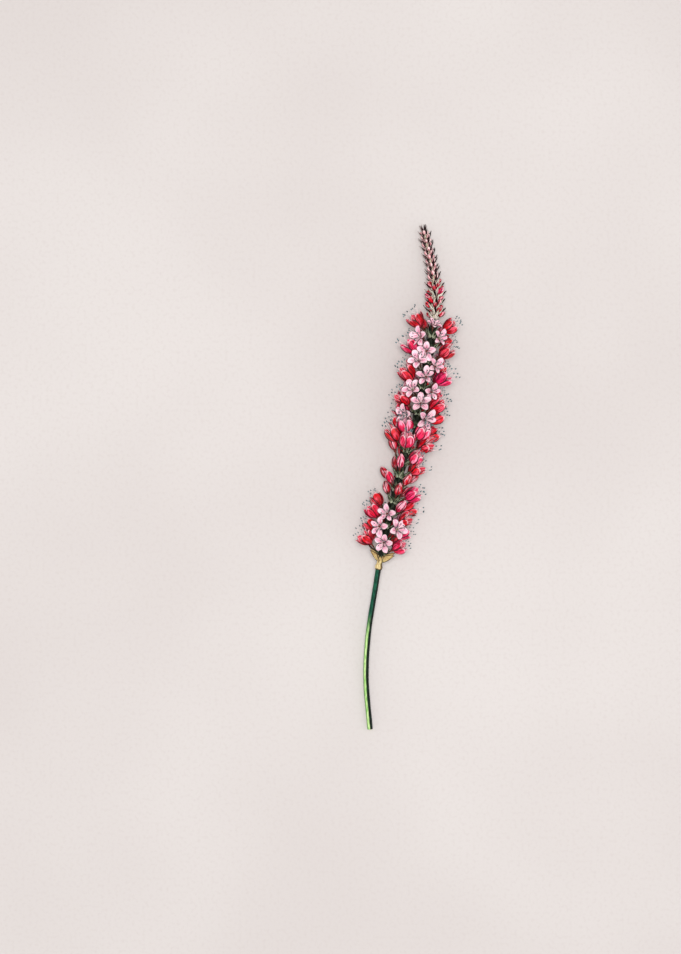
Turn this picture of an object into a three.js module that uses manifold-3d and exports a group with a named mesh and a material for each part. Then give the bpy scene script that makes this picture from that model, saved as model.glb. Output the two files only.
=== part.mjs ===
// A cut stem of polygonum: one tall narrow spike of small flowers on a bare stalk, lying on its side.
// Millimetres. Y runs from the cut end to the bud tip, X to the right of the spike, Z up from the surface.
import * as THREE from "three";
import { mergeVertices } from "three/addons/utils/BufferGeometryUtils.js";
import Module from "manifold-3d";

const wasm = await Module();
wasm.setup();

// Driving dimensions, in millimetres; turns, leans and lifts are in degrees.
// The middle line of the stem as right, along and height over the surface, counted from the cut end.
const STEM_ROUTE = [
  [0, 0, 1.05],
  [-1.3, 16.3, 1.8],
  [-0.6, 30.7, 3.2],
  [1.6, 45.4, 5.3],
  [3.1, 54.7, 6.6],
  [5.4, 65.9, 7.3],
  [8.2, 76.5, 7.4],
  [10.8, 87.4, 7.3],
  [14.3, 97.3, 7.4],
  [17.0, 111.4, 7.6],
  [19.4, 124.5, 7.0],
  [20.7, 136.3, 5.4],
  [20.1, 146.9, 3.8],
  [17.2, 161.0, 2.3],
];
// Where the cut end lies, so that the middle of the whole stem lies over the origin.
const CUT_END = new THREE.Vector3(-11.94, -81.04, 0);

// Distances along the middle line from the cut end, and the stem's radius there.
const STALK = { start: 0, end: 52, startRadius: 0.95, endRadius: 0.95, sides: 10, steps: 14 };
const SHEATH = { start: 52.3, end: 55.6, startRadius: 0.95, endRadius: 1.3, sides: 10, steps: 2 };
const AXIS = { start: 55.9, end: 134.6, startRadius: 0.9, endRadius: 0.65, sides: 6, steps: 26 };
const TIP_START = 134.9;
const TIP_RADIUS = 0.35;
const TIP_BARE_END = 0.8;

// The whorls from the foot of the spike to its top: o is an open star, c a crimson cup, b a closed bud.
// The second value turns the whorl: at nought its middle flower looks straight up.
const FIRST_WHORL = 59.8;
const WHORL_STEP = 4.2;
const FLOWERS_IN_WHORL = 5;
const MIDDLE_FLOWER = 2;
const WHORLS = [
  ["ccocc", 0],
  ["coocc", 36],
  ["ccoco", -6],
  ["c.bcb", 36],
  ["b.bcb", 0],
  ["bbbbb", 36],
  ["b.bcb", -10],
  ["b.c.c", 40],
  ["ccccc", -10],
  ["cccco", 33],
  ["coocc", 30],
  ["ccoco", 0],
  ["coocc", 34],
  ["ococc", 0],
  ["coocc", 33],
  ["ccoco", -8],
  ["coocb", 26],
  ["bcbcb", 0],
];

// How each kind of flower stands: reach is how far its foot is off the axis, rise how far its pedicel climbs,
// lean its tilt towards the tip. pressedLean and press hold for one that is pressed on the surface.
const STANCE = {
  o: { reach: 4.7, rise: 2.2, lean: 8, length: 1.9, mouth: 3.8, pressedLean: 8, press: 0.25 },
  c: { reach: 3.9, rise: 2.6, lean: 38, length: 5.0, mouth: 1.9, pressedLean: 84, press: 0.5 },
  b: { reach: 2.7, rise: 2.4, lean: 52, length: 4.6, mouth: 1.1, pressedLean: 52, press: 0 },
};
const STAR = { startLean: 32, endLean: 92, lobeWidth: 2.1, thickness: 0.65, foot: 0.55, length: 3.9 };
const CUP = { startLean: 46, endLean: -12, lobeWidth: 2.25, thickness: 0.65, foot: 0.45, length: 5.4 };
const BUD = { radius: 1.1, waist: 0.36, shoulder: 0.72, narrowing: 0.72, sides: 4 };
const LOBES = 5;
const LOBE_SPLIT = 0.34;
const LOBE_SHOULDER = 0.76;
const PEDICEL_RADIUS = 0.42;
const SPREAD = { size: 0.07, place: 0.45, turn: 5, reach: 0.05, lean: 6 };

// Flowers with less upward direction than this are right under the stem. Others may dip under the surface
// by SINK before they are turned up along the stem, step by step.
const UNDERNEATH = -0.72;
const SINK = 0.55;
const LEAN_LIMIT = 82;
const LEAN_STEP = 4;
const REACH_STEP = 0.97;

// The pointed bracts at the foot of the spike and those beside the pedicels of its loose part.
const BASE_BRACTS = [
  { turn: -108, length: 4.2, lift: 30 },
  { turn: -84, length: 3.4, lift: 14 },
  { turn: -36, length: 3.2, lift: 42 },
  { turn: 36, length: 3.0, lift: 40 },
  { turn: 84, length: 3.4, lift: 16 },
  { turn: 108, length: 4.1, lift: 32 },
  { turn: 180, length: 3.2, lift: 40 },
];
const BASE_BRACT = { waists: [[0.3, 0.62], [0.6, 0.5]], sides: 4, foot: 0.5, below: 0.5 };
const SMALL_BRACT = { waists: [[0.4, 0.42]], sides: 3, foot: 0.4, below: 2.9, length: 3.1, lift: 50, aside: 24 };

// The top of the spike: whorls of small crimson buds and, above them, narrow dark bracts.
const TIP_LEVEL_STEP = 1.35;
const TIP_FIRST_LEVEL = 0.7;
const CRIMSON_LEVELS = 9;
const TIP_TURN_SPREAD = 9;
const TIP_BUD = {
  ...{ members: 4, sides: 5, foot: 0.45, waist: 0.42, radius: 0.86, thinning: 0.3 },
  ...{ length: 4.2, lengthSpread: 0.3, shortening: 1.4, lift: 52, liftSpread: 6 },
};
const TIP_BRACT = {
  ...{ members: 3, sides: 4, foot: 0.2, waist: 0.4, radius: 0.5, thinning: 0.12 },
  ...{ length: 3.2, lengthSpread: 0.2, shortening: 1.0, lift: 52, liftSpread: 5 },
};
const END_BRACT = { below: 1.2, length: 2.4, waists: [[0.35, 0.55]], sides: 4 };

const MERGE = 1e-4;
const SURFACE_BLOCK = { size: 400, depth: 40 };
const RANDOM_START = 41;
const RANDOM_FACTOR = 16807;
const RANDOM_RANGE = 2147483647;

const degrees = THREE.MathUtils.degToRad;

// A repeatable random number from 0 to 1.
let seed = RANDOM_START;
function random() {
  seed = (seed * RANDOM_FACTOR) % RANDOM_RANGE;
  return seed / RANDOM_RANGE;
}

function around(middle, spread) {
  return middle + spread * (2 * random() - 1);
}

// The stem's middle line, with a frame at any distance along it.
const routePoints = STEM_ROUTE.map((point) => new THREE.Vector3(...point).add(CUT_END));
const route = new THREE.CatmullRomCurve3(routePoints, false, "catmullrom", 0.5);
route.arcLengthDivisions = 800;
const ROUTE_LENGTH = route.getLength();

function frameAt(distance) {
  const share = THREE.MathUtils.clamp(distance / ROUTE_LENGTH, 0, 1);
  const place = route.getPointAt(share);
  const along = route.getTangentAt(share);
  const side = new THREE.Vector3().crossVectors(along, new THREE.Vector3(0, 0, 1)).normalize();
  const front = new THREE.Vector3().crossVectors(side, along);
  return { place, along, side, front };
}

// The direction away from the axis at a turn, where nought is up and 90 is to the right.
function outward(frame, turn) {
  const up = frame.front.clone().multiplyScalar(Math.cos(degrees(turn)));
  return up.addScaledVector(frame.side, Math.sin(degrees(turn)));
}

// A direction away from the axis, lifted towards the tip of the stem.
function lifted(frame, away, lift) {
  const direction = away.clone().multiplyScalar(Math.cos(degrees(lift)));
  return direction.addScaledVector(frame.along, Math.sin(degrees(lift)));
}

// A closed geometry as a solid that can be joined and cut.
function solidOf(geometry) {
  const merged = mergeVertices(geometry.deleteAttribute("normal").deleteAttribute("uv"), MERGE);
  const mesh = new wasm.Mesh({
    numProp: 3,
    vertProperties: new Float32Array(merged.getAttribute("position").array),
    triVerts: new Uint32Array(merged.index.array),
  });
  return new wasm.Manifold(mesh);
}

function solidOfPoints(points, triangles) {
  const geometry = new THREE.BufferGeometry().setFromPoints(points);
  geometry.setIndex(triangles.flat());
  return solidOf(geometry);
}

// Joins solids two by two.
function joined(solids) {
  let layer = solids;
  while (layer.length > 1) {
    const next = [];
    for (let i = 0; i < layer.length; i += 2) {
      next.push(i + 1 < layer.length ? layer[i].add(layer[i + 1]) : layer[i]);
    }
    layer = next;
  }
  return layer[0];
}

// Two directions square to a given one, which make a right-handed set with it.
function squareTo(direction) {
  const hint = Math.abs(direction.z) < 0.9 ? new THREE.Vector3(0, 0, 1) : new THREE.Vector3(0, 1, 0);
  const u = new THREE.Vector3().crossVectors(hint, direction).normalize();
  const v = new THREE.Vector3().crossVectors(direction, u);
  return { u, v };
}

function ring(centre, u, v, radius, sides, turn = 0) {
  return Array.from({ length: sides }, (_, i) => {
    const angle = turn + (2 * Math.PI * i) / sides;
    const point = centre.clone().addScaledVector(u, radius * Math.cos(angle));
    return point.addScaledVector(v, radius * Math.sin(angle));
  });
}

// Triangles between each ring of points and the next, for rings that follow each other in a list.
function ringWalls(firstPoint, sides, ringCount) {
  const triangles = [];
  for (let level = 0; level + 1 < ringCount; level += 1) {
    for (let i = 0; i < sides; i += 1) {
      const a = firstPoint + level * sides + i;
      const b = firstPoint + level * sides + ((i + 1) % sides);
      triangles.push([a, b, b + sides], [a, b + sides, a + sides]);
    }
  }
  return triangles;
}

// A length of the stem, tapering from one radius to another, with flat ends.
function stemPiece({ start, end, startRadius, endRadius, sides, steps }) {
  const rings = [];
  for (let i = 0; i <= steps; i += 1) {
    const frame = frameAt(THREE.MathUtils.lerp(start, end, i / steps));
    const radius = THREE.MathUtils.lerp(startRadius, endRadius, i / steps);
    rings.push(ring(frame.place, frame.front, frame.side, radius, sides));
  }
  const triangles = ringWalls(0, sides, rings.length);
  const last = steps * sides;
  for (let i = 1; i + 1 < sides; i += 1) {
    triangles.push([0, i + 1, i], [last, last + i, last + i + 1]);
  }
  return solidOfPoints(rings.flat(), triangles);
}

// Rings between two points become a closed body that is pointed at both ends.
function pointedBody(bottom, rings, top) {
  const sides = rings[0].length;
  const points = [bottom, ...rings.flat(), top];
  const tip = points.length - 1;
  const triangles = ringWalls(1, sides, rings.length);
  for (let i = 0; i < sides; i += 1) {
    const next = (i + 1) % sides;
    triangles.push([0, 1 + next, 1 + i], [tip, tip - sides + i, tip - sides + next]);
  }
  return solidOfPoints(points, triangles);
}

// A small bract or bud without a pedicel. Each waist is a share of the length and the radius there.
function spindle(foot, direction, length, waists, sides, turn = 0) {
  const { u, v } = squareTo(direction);
  const rings = waists.map(([share, radius]) => {
    return ring(foot.clone().addScaledVector(direction, length * share), u, v, radius, sides, turn);
  });
  return pointedBody(foot, rings, foot.clone().addScaledVector(direction, length));
}

// A closed bud on its pedicel, widest below its middle.
function budBody(root, foot, direction, length, scale, turn) {
  const { u, v } = squareTo(direction);
  const waists = [
    [0, PEDICEL_RADIUS],
    [BUD.waist, BUD.radius * scale],
    [BUD.shoulder, BUD.radius * BUD.narrowing * scale],
  ];
  const rings = waists.map(([share, radius]) => {
    return ring(foot.clone().addScaledVector(direction, length * share), u, v, radius, BUD.sides, turn);
  });
  return pointedBody(root, rings, foot.clone().addScaledVector(direction, length));
}

// One flower on its pedicel, as a closed body with an open mouth: five lobes are joined at the foot, and a
// lobe leans away from the flower's axis by startLean at its foot and by endLean at its tip.
function flowerBody(root, foot, direction, shape, scale, turn) {
  const { u, v } = squareTo(direction);
  const start = degrees(shape.startLean);
  const bend = degrees(shape.endLean) - start;
  const step = (2 * Math.PI) / LOBES;
  function pointAt(radius, angle, height) {
    const point = foot.clone().addScaledVector(direction, height);
    point.addScaledVector(u, radius * Math.cos(angle));
    return point.addScaledVector(v, radius * Math.sin(angle));
  }
  function lobePoint(share, angle, inside, sideways = 0) {
    const lean = start + bend * share;
    const out = shape.foot + (shape.length * (Math.cos(start) - Math.cos(lean))) / bend;
    const up = (shape.length * (Math.sin(lean) - Math.sin(start))) / bend;
    const depth = inside ? shape.thickness : 0;
    const radius = scale * (out - depth * Math.cos(lean));
    return pointAt(radius, angle + sideways / out, scale * (up + depth * Math.sin(lean)));
  }
  const points = [root, pointAt(0, 0, scale * shape.thickness)];
  const collarStart = points.length;
  for (let i = 0; i < LOBES; i += 1) {
    points.push(pointAt(PEDICEL_RADIUS, turn + (i - 0.5) * step, 0));
  }
  const lobeStart = points.length;
  for (const inside of [false, true]) {
    for (let i = 0; i < LOBES; i += 1) {
      const angle = turn + i * step;
      points.push(lobePoint(LOBE_SPLIT, angle - step / 2, inside));
      points.push(lobePoint(LOBE_SHOULDER, angle, inside, -shape.lobeWidth / 2));
      points.push(lobePoint(1, angle, inside));
      points.push(lobePoint(LOBE_SHOULDER, angle, inside, shape.lobeWidth / 2));
    }
  }
  const inner = (points.length - lobeStart) / 2;
  const triangles = [];
  for (let i = 0; i < LOBES; i += 1) {
    const next = (i + 1) % LOBES;
    const [valley, left, tip, right] = [0, 1, 2, 3].map((k) => lobeStart + i * 4 + k);
    const nextValley = lobeStart + next * 4;
    const [collar, nextCollar] = [collarStart + i, collarStart + next];
    const lobe = [
      [valley, left, right],
      [valley, right, nextValley],
      [left, tip, right],
    ];
    for (const [a, b, c] of lobe) {
      triangles.push([a + inner, b + inner, c + inner], [a, c, b]);
    }
    triangles.push([1, valley + inner, nextValley + inner], [0, nextCollar, collar]);
    triangles.push([collar, nextValley, valley], [collar, nextCollar, nextValley]);
    const rim = [valley, left, tip, right, nextValley];
    for (let k = 0; k + 1 < rim.length; k += 1) {
      const [p, q] = [rim[k], rim[k + 1]];
      triangles.push([p, q, q + inner], [p, q + inner, p + inner]);
    }
  }
  return solidOfPoints(points, triangles);
}

// A flower on its pedicel. One right under the stem is pressed flat against the surface by its press, and
// one that hangs beside it is turned up along the stem until it clears the surface.
function flower(kind, distance, turn) {
  const { reach, rise, lean, length, mouth, pressedLean, press } = STANCE[kind];
  const scale = around(1, SPREAD.size);
  const roll = random() * Math.PI;
  const frame = frameAt(distance + around(0, SPREAD.place));
  const away = outward(frame, turn + around(0, SPREAD.turn));
  let standOff = reach * around(1, SPREAD.reach);
  let tilt = lean + around(0, SPREAD.lean);
  function dropAt(angle) {
    const steepness = lifted(frame, away, angle).z;
    return scale * (mouth * Math.sqrt(1 - steepness * steepness) - length * steepness);
  }
  if (away.z < UNDERNEATH && press > 0) {
    tilt = pressedLean;
    standOff = (frame.place.z + press - dropAt(tilt)) / -away.z;
  }
  while (frame.place.z + standOff * away.z - dropAt(tilt) < -SINK && tilt < LEAN_LIMIT) {
    tilt += LEAN_STEP;
    standOff *= REACH_STEP;
  }
  const root = frameAt(distance - rise).place;
  const foot = frame.place.clone().addScaledVector(away, standOff);
  const direction = lifted(frame, away, tilt);
  if (kind === "b") {
    return budBody(root, foot, direction, length * scale, scale, roll);
  }
  return flowerBody(root, foot, direction, kind === "o" ? STAR : CUP, scale, roll);
}

// A bract that leaves the axis beside a pedicel.
function smallBract(distance, turn) {
  const frame = frameAt(distance - SMALL_BRACT.below);
  const away = outward(frame, turn + SMALL_BRACT.aside);
  const foot = frame.place.clone().addScaledVector(away, SMALL_BRACT.foot);
  const direction = lifted(frame, away, SMALL_BRACT.lift);
  return spindle(foot, direction, SMALL_BRACT.length, SMALL_BRACT.waists, SMALL_BRACT.sides);
}

// The papery sheath at the foot of the spike, with pointed bracts that stand away from it.
function baseSheath() {
  const bodies = [stemPiece(SHEATH)];
  const rim = frameAt(SHEATH.end - BASE_BRACT.below);
  for (const { turn, length, lift } of BASE_BRACTS) {
    const away = outward(rim, turn);
    const foot = rim.place.clone().addScaledVector(away, BASE_BRACT.foot);
    bodies.push(spindle(foot, lifted(rim, away, lift), length, BASE_BRACT.waists, BASE_BRACT.sides));
  }
  return joined(bodies);
}

// The flowering part: the dark axis with its whorls, and bracts where a whorl holds closed buds.
function flowerSpike() {
  const bodies = [stemPiece(AXIS)];
  WHORLS.forEach(([kinds, whorlTurn], whorl) => {
    const distance = FIRST_WHORL + whorl * WHORL_STEP;
    [...kinds].forEach((kind, place) => {
      const turn = whorlTurn + ((place - MIDDLE_FLOWER) * 360) / FLOWERS_IN_WHORL;
      if (kind !== ".") {
        bodies.push(flower(kind, distance, turn));
      }
      if (kinds.includes("b")) {
        bodies.push(smallBract(distance, turn));
      }
    });
  });
  return joined(bodies);
}

// The top of the spike: small crimson buds, and above them narrow dark bracts that hide the axis.
function budTip() {
  const length = ROUTE_LENGTH - TIP_START;
  const end = ROUTE_LENGTH - TIP_BARE_END;
  const radii = { startRadius: AXIS.endRadius, endRadius: TIP_RADIUS };
  const bodies = [stemPiece({ start: TIP_START, end, ...radii, sides: 5, steps: 14 })];
  const levels = Math.floor((length - TIP_FIRST_LEVEL - TIP_BARE_END) / TIP_LEVEL_STEP);
  for (let level = 0; level <= levels; level += 1) {
    const share = level / levels;
    const frame = frameAt(TIP_START + TIP_FIRST_LEVEL + level * TIP_LEVEL_STEP);
    const shape = level < CRIMSON_LEVELS ? TIP_BUD : TIP_BRACT;
    for (let i = 0; i < shape.members; i += 1) {
      const turn = (360 * (i + (level % 2) / 2)) / shape.members + around(0, TIP_TURN_SPREAD);
      const away = outward(frame, turn);
      const direction = lifted(frame, away, around(shape.lift, shape.liftSpread));
      const reach = around(shape.length, shape.lengthSpread) - shape.shortening * share;
      const waists = [[shape.waist, shape.radius - shape.thinning * share]];
      const foot = frame.place.clone().addScaledVector(away, shape.foot);
      bodies.push(spindle(foot, direction, reach, waists, shape.sides, random()));
    }
  }
  const last = frameAt(ROUTE_LENGTH - END_BRACT.below);
  bodies.push(spindle(last.place, last.along, END_BRACT.length, END_BRACT.waists, END_BRACT.sides));
  return joined(bodies);
}

// Everything under the surface that the stem lies on is cut away, which leaves small flat spots.
const { size, depth } = SURFACE_BLOCK;
const surfaceBlock = solidOf(new THREE.BoxGeometry(size, size, depth).translate(0, 0, -depth / 2));

// The largest closed body of what is left, so that a sealed hollow is filled and a loose scrap is dropped.
function finished(solid) {
  const bodies = solid.subtract(surfaceBlock).decompose();
  return bodies.reduce((best, body) => (body.volume() > best.volume() ? body : best));
}

function namedMesh(name, solid, color, roughness) {
  const { vertProperties, triVerts } = finished(solid).getMesh();
  const geometry = new THREE.BufferGeometry();
  geometry.setAttribute("position", new THREE.BufferAttribute(vertProperties, 3));
  geometry.setIndex(new THREE.BufferAttribute(triVerts, 1));
  geometry.computeVertexNormals();
  const material = new THREE.MeshStandardMaterial({ color, roughness, metalness: 0 });
  const mesh = new THREE.Mesh(geometry, material);
  mesh.name = name;
  return mesh;
}

const stem = new THREE.Group();
stem.add(
  namedMesh("stalk", stemPiece(STALK), 0x3d6b35, 0.55),
  namedMesh("base_sheath", baseSheath(), 0xc9b77c, 0.8),
  namedMesh("flower_spike", flowerSpike(), 0xc8283f, 0.6),
  namedMesh("bud_tip", budTip(), 0x6a1e2c, 0.6),
);

export default stem;
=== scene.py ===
# %% [markdown]
# # A cut polygonum stem
#
# This lesson dresses one cut flower stem that lies on a table and is seen from straight above: a bare green
# stalk, a straw-coloured sheath, and a tall narrow spike of crimson cups, pale pink stars and dark buds.
# The plain solids are already packed, with their real sizes. We load them first and never move them: every
# finer piece is made around them, in metres, in the same frame.
#
# The lesson has four parts: the line and the rule that everything hangs on, three Geometry Nodes trees that
# make all the shapes, the skins that colour them, and the pieces themselves, from the cut end to the bud
# tip.

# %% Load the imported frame
import math

import bpy
from mathutils import Matrix, Vector


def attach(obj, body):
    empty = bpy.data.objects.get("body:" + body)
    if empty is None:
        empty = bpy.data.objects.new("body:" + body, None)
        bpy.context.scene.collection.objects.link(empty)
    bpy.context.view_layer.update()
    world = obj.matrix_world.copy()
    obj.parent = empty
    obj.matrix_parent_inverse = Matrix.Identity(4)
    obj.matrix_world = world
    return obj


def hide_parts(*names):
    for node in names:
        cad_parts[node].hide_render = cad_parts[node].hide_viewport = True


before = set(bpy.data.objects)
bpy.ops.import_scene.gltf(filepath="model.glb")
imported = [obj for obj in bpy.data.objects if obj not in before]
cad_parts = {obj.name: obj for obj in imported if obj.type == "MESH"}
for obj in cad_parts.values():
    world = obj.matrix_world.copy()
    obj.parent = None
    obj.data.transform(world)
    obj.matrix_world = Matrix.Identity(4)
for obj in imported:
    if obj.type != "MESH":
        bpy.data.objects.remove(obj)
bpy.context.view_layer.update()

MM = 0.001
print("packed nodes:", sorted(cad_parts))

# %% [markdown]
# ## The middle line of the stem
#
# On the plant everything hangs on one line: the stalk runs up into the axis of the spike and ends in the
# bud tip. We could draw that line as a Bezier curve by hand, but the solids already follow a smooth curve
# through fourteen points, so we repeat those points and the same Catmull-Rom rule. Then each flower lands
# where its solid is. A place on the line is given as a distance in millimetres from the cut end.

# %% The route and a frame at any distance along it
CUT_END = Vector((-11.94, -81.04, 0.0))
STEM_ROUTE = [
    (0.0, 0.0, 1.05),
    (-1.3, 16.3, 1.8),
    (-0.6, 30.7, 3.2),
    (1.6, 45.4, 5.3),
    (3.1, 54.7, 6.6),
    (5.4, 65.9, 7.3),
    (8.2, 76.5, 7.4),
    (10.8, 87.4, 7.3),
    (14.3, 97.3, 7.4),
    (17.0, 111.4, 7.6),
    (19.4, 124.5, 7.0),
    (20.7, 136.3, 5.4),
    (20.1, 146.9, 3.8),
    (17.2, 161.0, 2.3),
]
STEPS_PER_SPAN = 60
UP = Vector((0, 0, 1))


def span_point(before, start, end, after, share):
    """A point on the smooth curve between start and end, by the uniform Catmull-Rom rule."""
    leave = (end - before) / 2
    arrive = (after - start) / 2
    square, cube = share**2, share**3
    return (
        start * (2 * cube - 3 * square + 1)
        + leave * (cube - 2 * square + share)
        + end * (3 * square - 2 * cube)
        + arrive * (cube - square)
    )


def sample_route():
    """Places along the whole line, and how far along the line each of them lies."""
    knots = [Vector(p) + CUT_END for p in STEM_ROUTE]
    knots = [2 * knots[0] - knots[1], *knots, 2 * knots[-1] - knots[-2]]
    places = [knots[1]]
    for span in range(len(knots) - 3):
        for step in range(1, STEPS_PER_SPAN + 1):
            places.append(span_point(*knots[span : span + 4], step / STEPS_PER_SPAN))
    lengths = [0.0]
    for a, b in zip(places, places[1:]):
        lengths.append(lengths[-1] + (b - a).length)
    return places, lengths


ROUTE, ROUTE_LENGTHS = sample_route()
ROUTE_LENGTH = ROUTE_LENGTHS[-1]


def frame_at(distance):
    """The place, and the directions along the stem, to its right and to its front, at a distance in mm."""
    distance = min(max(distance, 0.0), ROUTE_LENGTH - 1e-6)
    step = next(i for i, length in enumerate(ROUTE_LENGTHS) if length > distance)
    share = (distance - ROUTE_LENGTHS[step - 1]) / (ROUTE_LENGTHS[step] - ROUTE_LENGTHS[step - 1])
    place = ROUTE[step - 1].lerp(ROUTE[step], share)
    low, high = max(step - 2, 0), min(step + 1, len(ROUTE) - 1)
    along = (ROUTE[high] - ROUTE[low]).normalized()
    side = along.cross(UP).normalized()
    return place, along, side, side.cross(along)


print(f"the middle line is {ROUTE_LENGTH:.1f} mm long")

# %% [markdown]
# ## The rule that sets out the flowers
#
# The flowers stand in loose whorls of five, each whorl turned against the last. They could be placed one by
# one, but a rule keeps them even on all sides: each whorl is a short word, with o for an open star, c for a
# crimson cup, b for a closed bud and a dot for a gap, and a number of degrees that turns it. Small random
# shifts come from a seeded generator, drawn in the same order as for the solids, so both agree.

# %% The whorls and the stance of each kind of flower
FIRST_WHORL = 59.8
WHORL_STEP = 4.2
FLOWERS_IN_WHORL = 5
# The flower at this place of its word, counted from nought, faces up before the whorl is turned.
MIDDLE_FLOWER = 2
WHORLS = [
    ("ccocc", 0),
    ("coocc", 36),
    ("ccoco", -6),
    ("c.bcb", 36),
    ("b.bcb", 0),
    ("bbbbb", 36),
    ("b.bcb", -10),
    ("b.c.c", 40),
    ("ccccc", -10),
    ("cccco", 33),
    ("coocc", 30),
    ("ccoco", 0),
    ("coocc", 34),
    ("ococc", 0),
    ("coocc", 33),
    ("ccoco", -8),
    ("coocb", 26),
    ("bcbcb", 0),
]
# For each kind, in mm and degrees: how far it stands off the axis, how far below it its pedicel starts, how
# far it leans up the stem, its length, the radius of its mouth, and how it is laid when it is underneath.
STANCE = {
    "o": dict(reach=4.7, rise=2.2, lean=8, length=1.9, mouth=3.8, pressed_lean=8, press=0.25),
    "c": dict(reach=3.9, rise=2.6, lean=38, length=5.0, mouth=1.9, pressed_lean=84, press=0.5),
    "b": dict(reach=2.7, rise=2.4, lean=52, length=4.6, mouth=1.1, pressed_lean=52, press=0),
}
# How far chance may move each of these: a share of size and reach, mm of place, degrees of turn and lean.
SPREAD = dict(size=0.07, place=0.45, turn=5, reach=0.05, lean=6)
# A flower that points down more steeply than this is laid along the stem.
UNDERNEATH = -0.72
# A flower may reach this many mm below the surface; past that it is leaned and drawn in, by these steps.
SINK = 0.55
LEAN_LIMIT, LEAN_STEP, REACH_STEP = 82, 4, 0.97

print(f"{len(WHORLS)} whorls, the last one {FIRST_WHORL + (len(WHORLS) - 1) * WHORL_STEP:.1f} mm up the stem")

# %% [markdown]
# ### Chance that repeats, and directions round a bent stem
#
# No spike is quite even, so chance nudges each flower a little. Python's random module would do, but the
# small generator below is also the one behind the solids, and the same start gives the same nudges in both.
# The other helpers turn a place on the stem and an angle into directions: away from the axis, lifted
# towards the tip, and at last the rotation that points a flower's own Z axis that way.

# %% Dice and directions
class Dice:
    """A repeatable random number generator: the same start always gives the same draws."""

    FACTOR, PRIME = 16807, 2147483647

    def __init__(self, start):
        self.state = start

    def roll(self):
        self.state = (self.state * self.FACTOR) % self.PRIME
        return self.state / self.PRIME

    def around(self, middle, spread):
        return middle + spread * (2 * self.roll() - 1)


def outward(stem_frame, turn):
    """The direction away from the axis at a turn in degrees: nought is up and 90 is to the right."""
    _, _, side, front = stem_frame
    return front * math.cos(math.radians(turn)) + side * math.sin(math.radians(turn))


def lifted(stem_frame, away, lift):
    """A direction away from the axis, lifted towards the tip of the stem."""
    return away * math.cos(math.radians(lift)) + stem_frame[1] * math.sin(math.radians(lift))


def facing_turn(direction, roll):
    """The rotation that points Z along a direction and turns it round by roll."""
    hint = UP if abs(direction.z) < 0.9 else Vector((0, 1, 0))
    u = hint.cross(direction).normalized()
    v = direction.cross(u)
    return (Matrix((u, v, direction)).transposed() @ Matrix.Rotation(roll, 3, "Z")).to_euler()


DICE_START = 41
trial = Dice(DICE_START)
print("the first three draws:", [round(trial.roll(), 3) for _ in range(3)])

# %% [markdown]
# ### Where one flower stands
#
# Each flower sits at the end of its own little stalk. One that would sink into the table is leaned further
# up the stem, step by step, until it clears the surface, as the flowers under a real stem are pushed aside
# when it is laid down. Those right underneath are laid almost along the stem. We could have let a physics
# simulation do this, but a few lines of geometry give the same result every time.

# %% Setting out the flowers by the rule
def set_out_flower(kind, distance, turn, dice):
    """Where one flower stands: its root on the axis, its foot, direction, turn, size and tint."""
    stance = STANCE[kind]
    size = dice.around(1, SPREAD["size"])
    roll = dice.roll() * math.pi
    stem_frame = frame_at(distance + dice.around(0, SPREAD["place"]))
    away = outward(stem_frame, turn + dice.around(0, SPREAD["turn"]))
    stand_off = stance["reach"] * dice.around(1, SPREAD["reach"])
    tilt = stance["lean"] + dice.around(0, SPREAD["lean"])

    def drop(angle):
        """How far the lowest point of its mouth lies below its foot."""
        steep = lifted(stem_frame, away, angle).z
        return size * (stance["mouth"] * math.sqrt(1 - steep * steep) - stance["length"] * steep)

    place = stem_frame[0]
    if away.z < UNDERNEATH and stance["press"] > 0:
        tilt = stance["pressed_lean"]
        stand_off = (place.z + stance["press"] - drop(tilt)) / -away.z
    while place.z + stand_off * away.z - drop(tilt) < -SINK and tilt < LEAN_LIMIT:
        tilt += LEAN_STEP
        stand_off *= REACH_STEP
    direction = lifted(stem_frame, away, tilt)
    foot = place + away * stand_off
    root = frame_at(distance - stance["rise"])[0]
    return dict(kind=kind, foot=foot, root=root, direction=direction, roll=roll, size=size, away=away)


dice = Dice(DICE_START)
flowers = []
for whorl, (kinds, whorl_turn) in enumerate(WHORLS):
    for place, kind in enumerate(kinds):
        if kind != ".":
            turn = whorl_turn + (place - MIDDLE_FLOWER) * 360 / FLOWERS_IN_WHORL
            flower = set_out_flower(kind, FIRST_WHORL + whorl * WHORL_STEP, turn, dice)
            flowers.append(flower | dict(whorl=whorl))
for kind, name in (("o", "open stars"), ("c", "crimson cups"), ("b", "closed buds")):
    print(name, sum(f["kind"] == kind for f in flowers))

# %% [markdown]
# ## Node trees that read as formulas
#
# Both Geometry Nodes and materials are trees of small nodes. They are usually wired by hand with the mouse,
# and in a script each node and link takes a line of its own. We keep that short with a Number that stands
# for a socket: adding or multiplying two Numbers adds the Math node and its links. The trees that come out
# are ordinary ones, which open in the editor.

# %% A small language for node trees
def wire(tree, value, socket):
    """Links a socket or a Number to an input, or sets the input to a plain value."""
    if isinstance(value, Number):
        value = value.socket
    if isinstance(value, bpy.types.NodeSocket):
        tree.links.new(value, socket)
    else:
        socket.default_value = value


def put(tree, kind, wires=None, **settings):
    """Adds a node, with its settings and what goes into its inputs."""
    node = tree.nodes.new(kind)
    for name, value in settings.items():
        setattr(node, name, value)
    for key, value in (wires or {}).items():
        wire(tree, value, node.inputs[key])
    return node


# %% [markdown]
# ### Sums that write nodes
#
# With the operators below, a line such as "x * 2.0 + y" adds two Math nodes and wires them. The step method
# is a Map Range node with a soft rise, which does most of the work in the colours: it turns any value into
# a mask.

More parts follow.
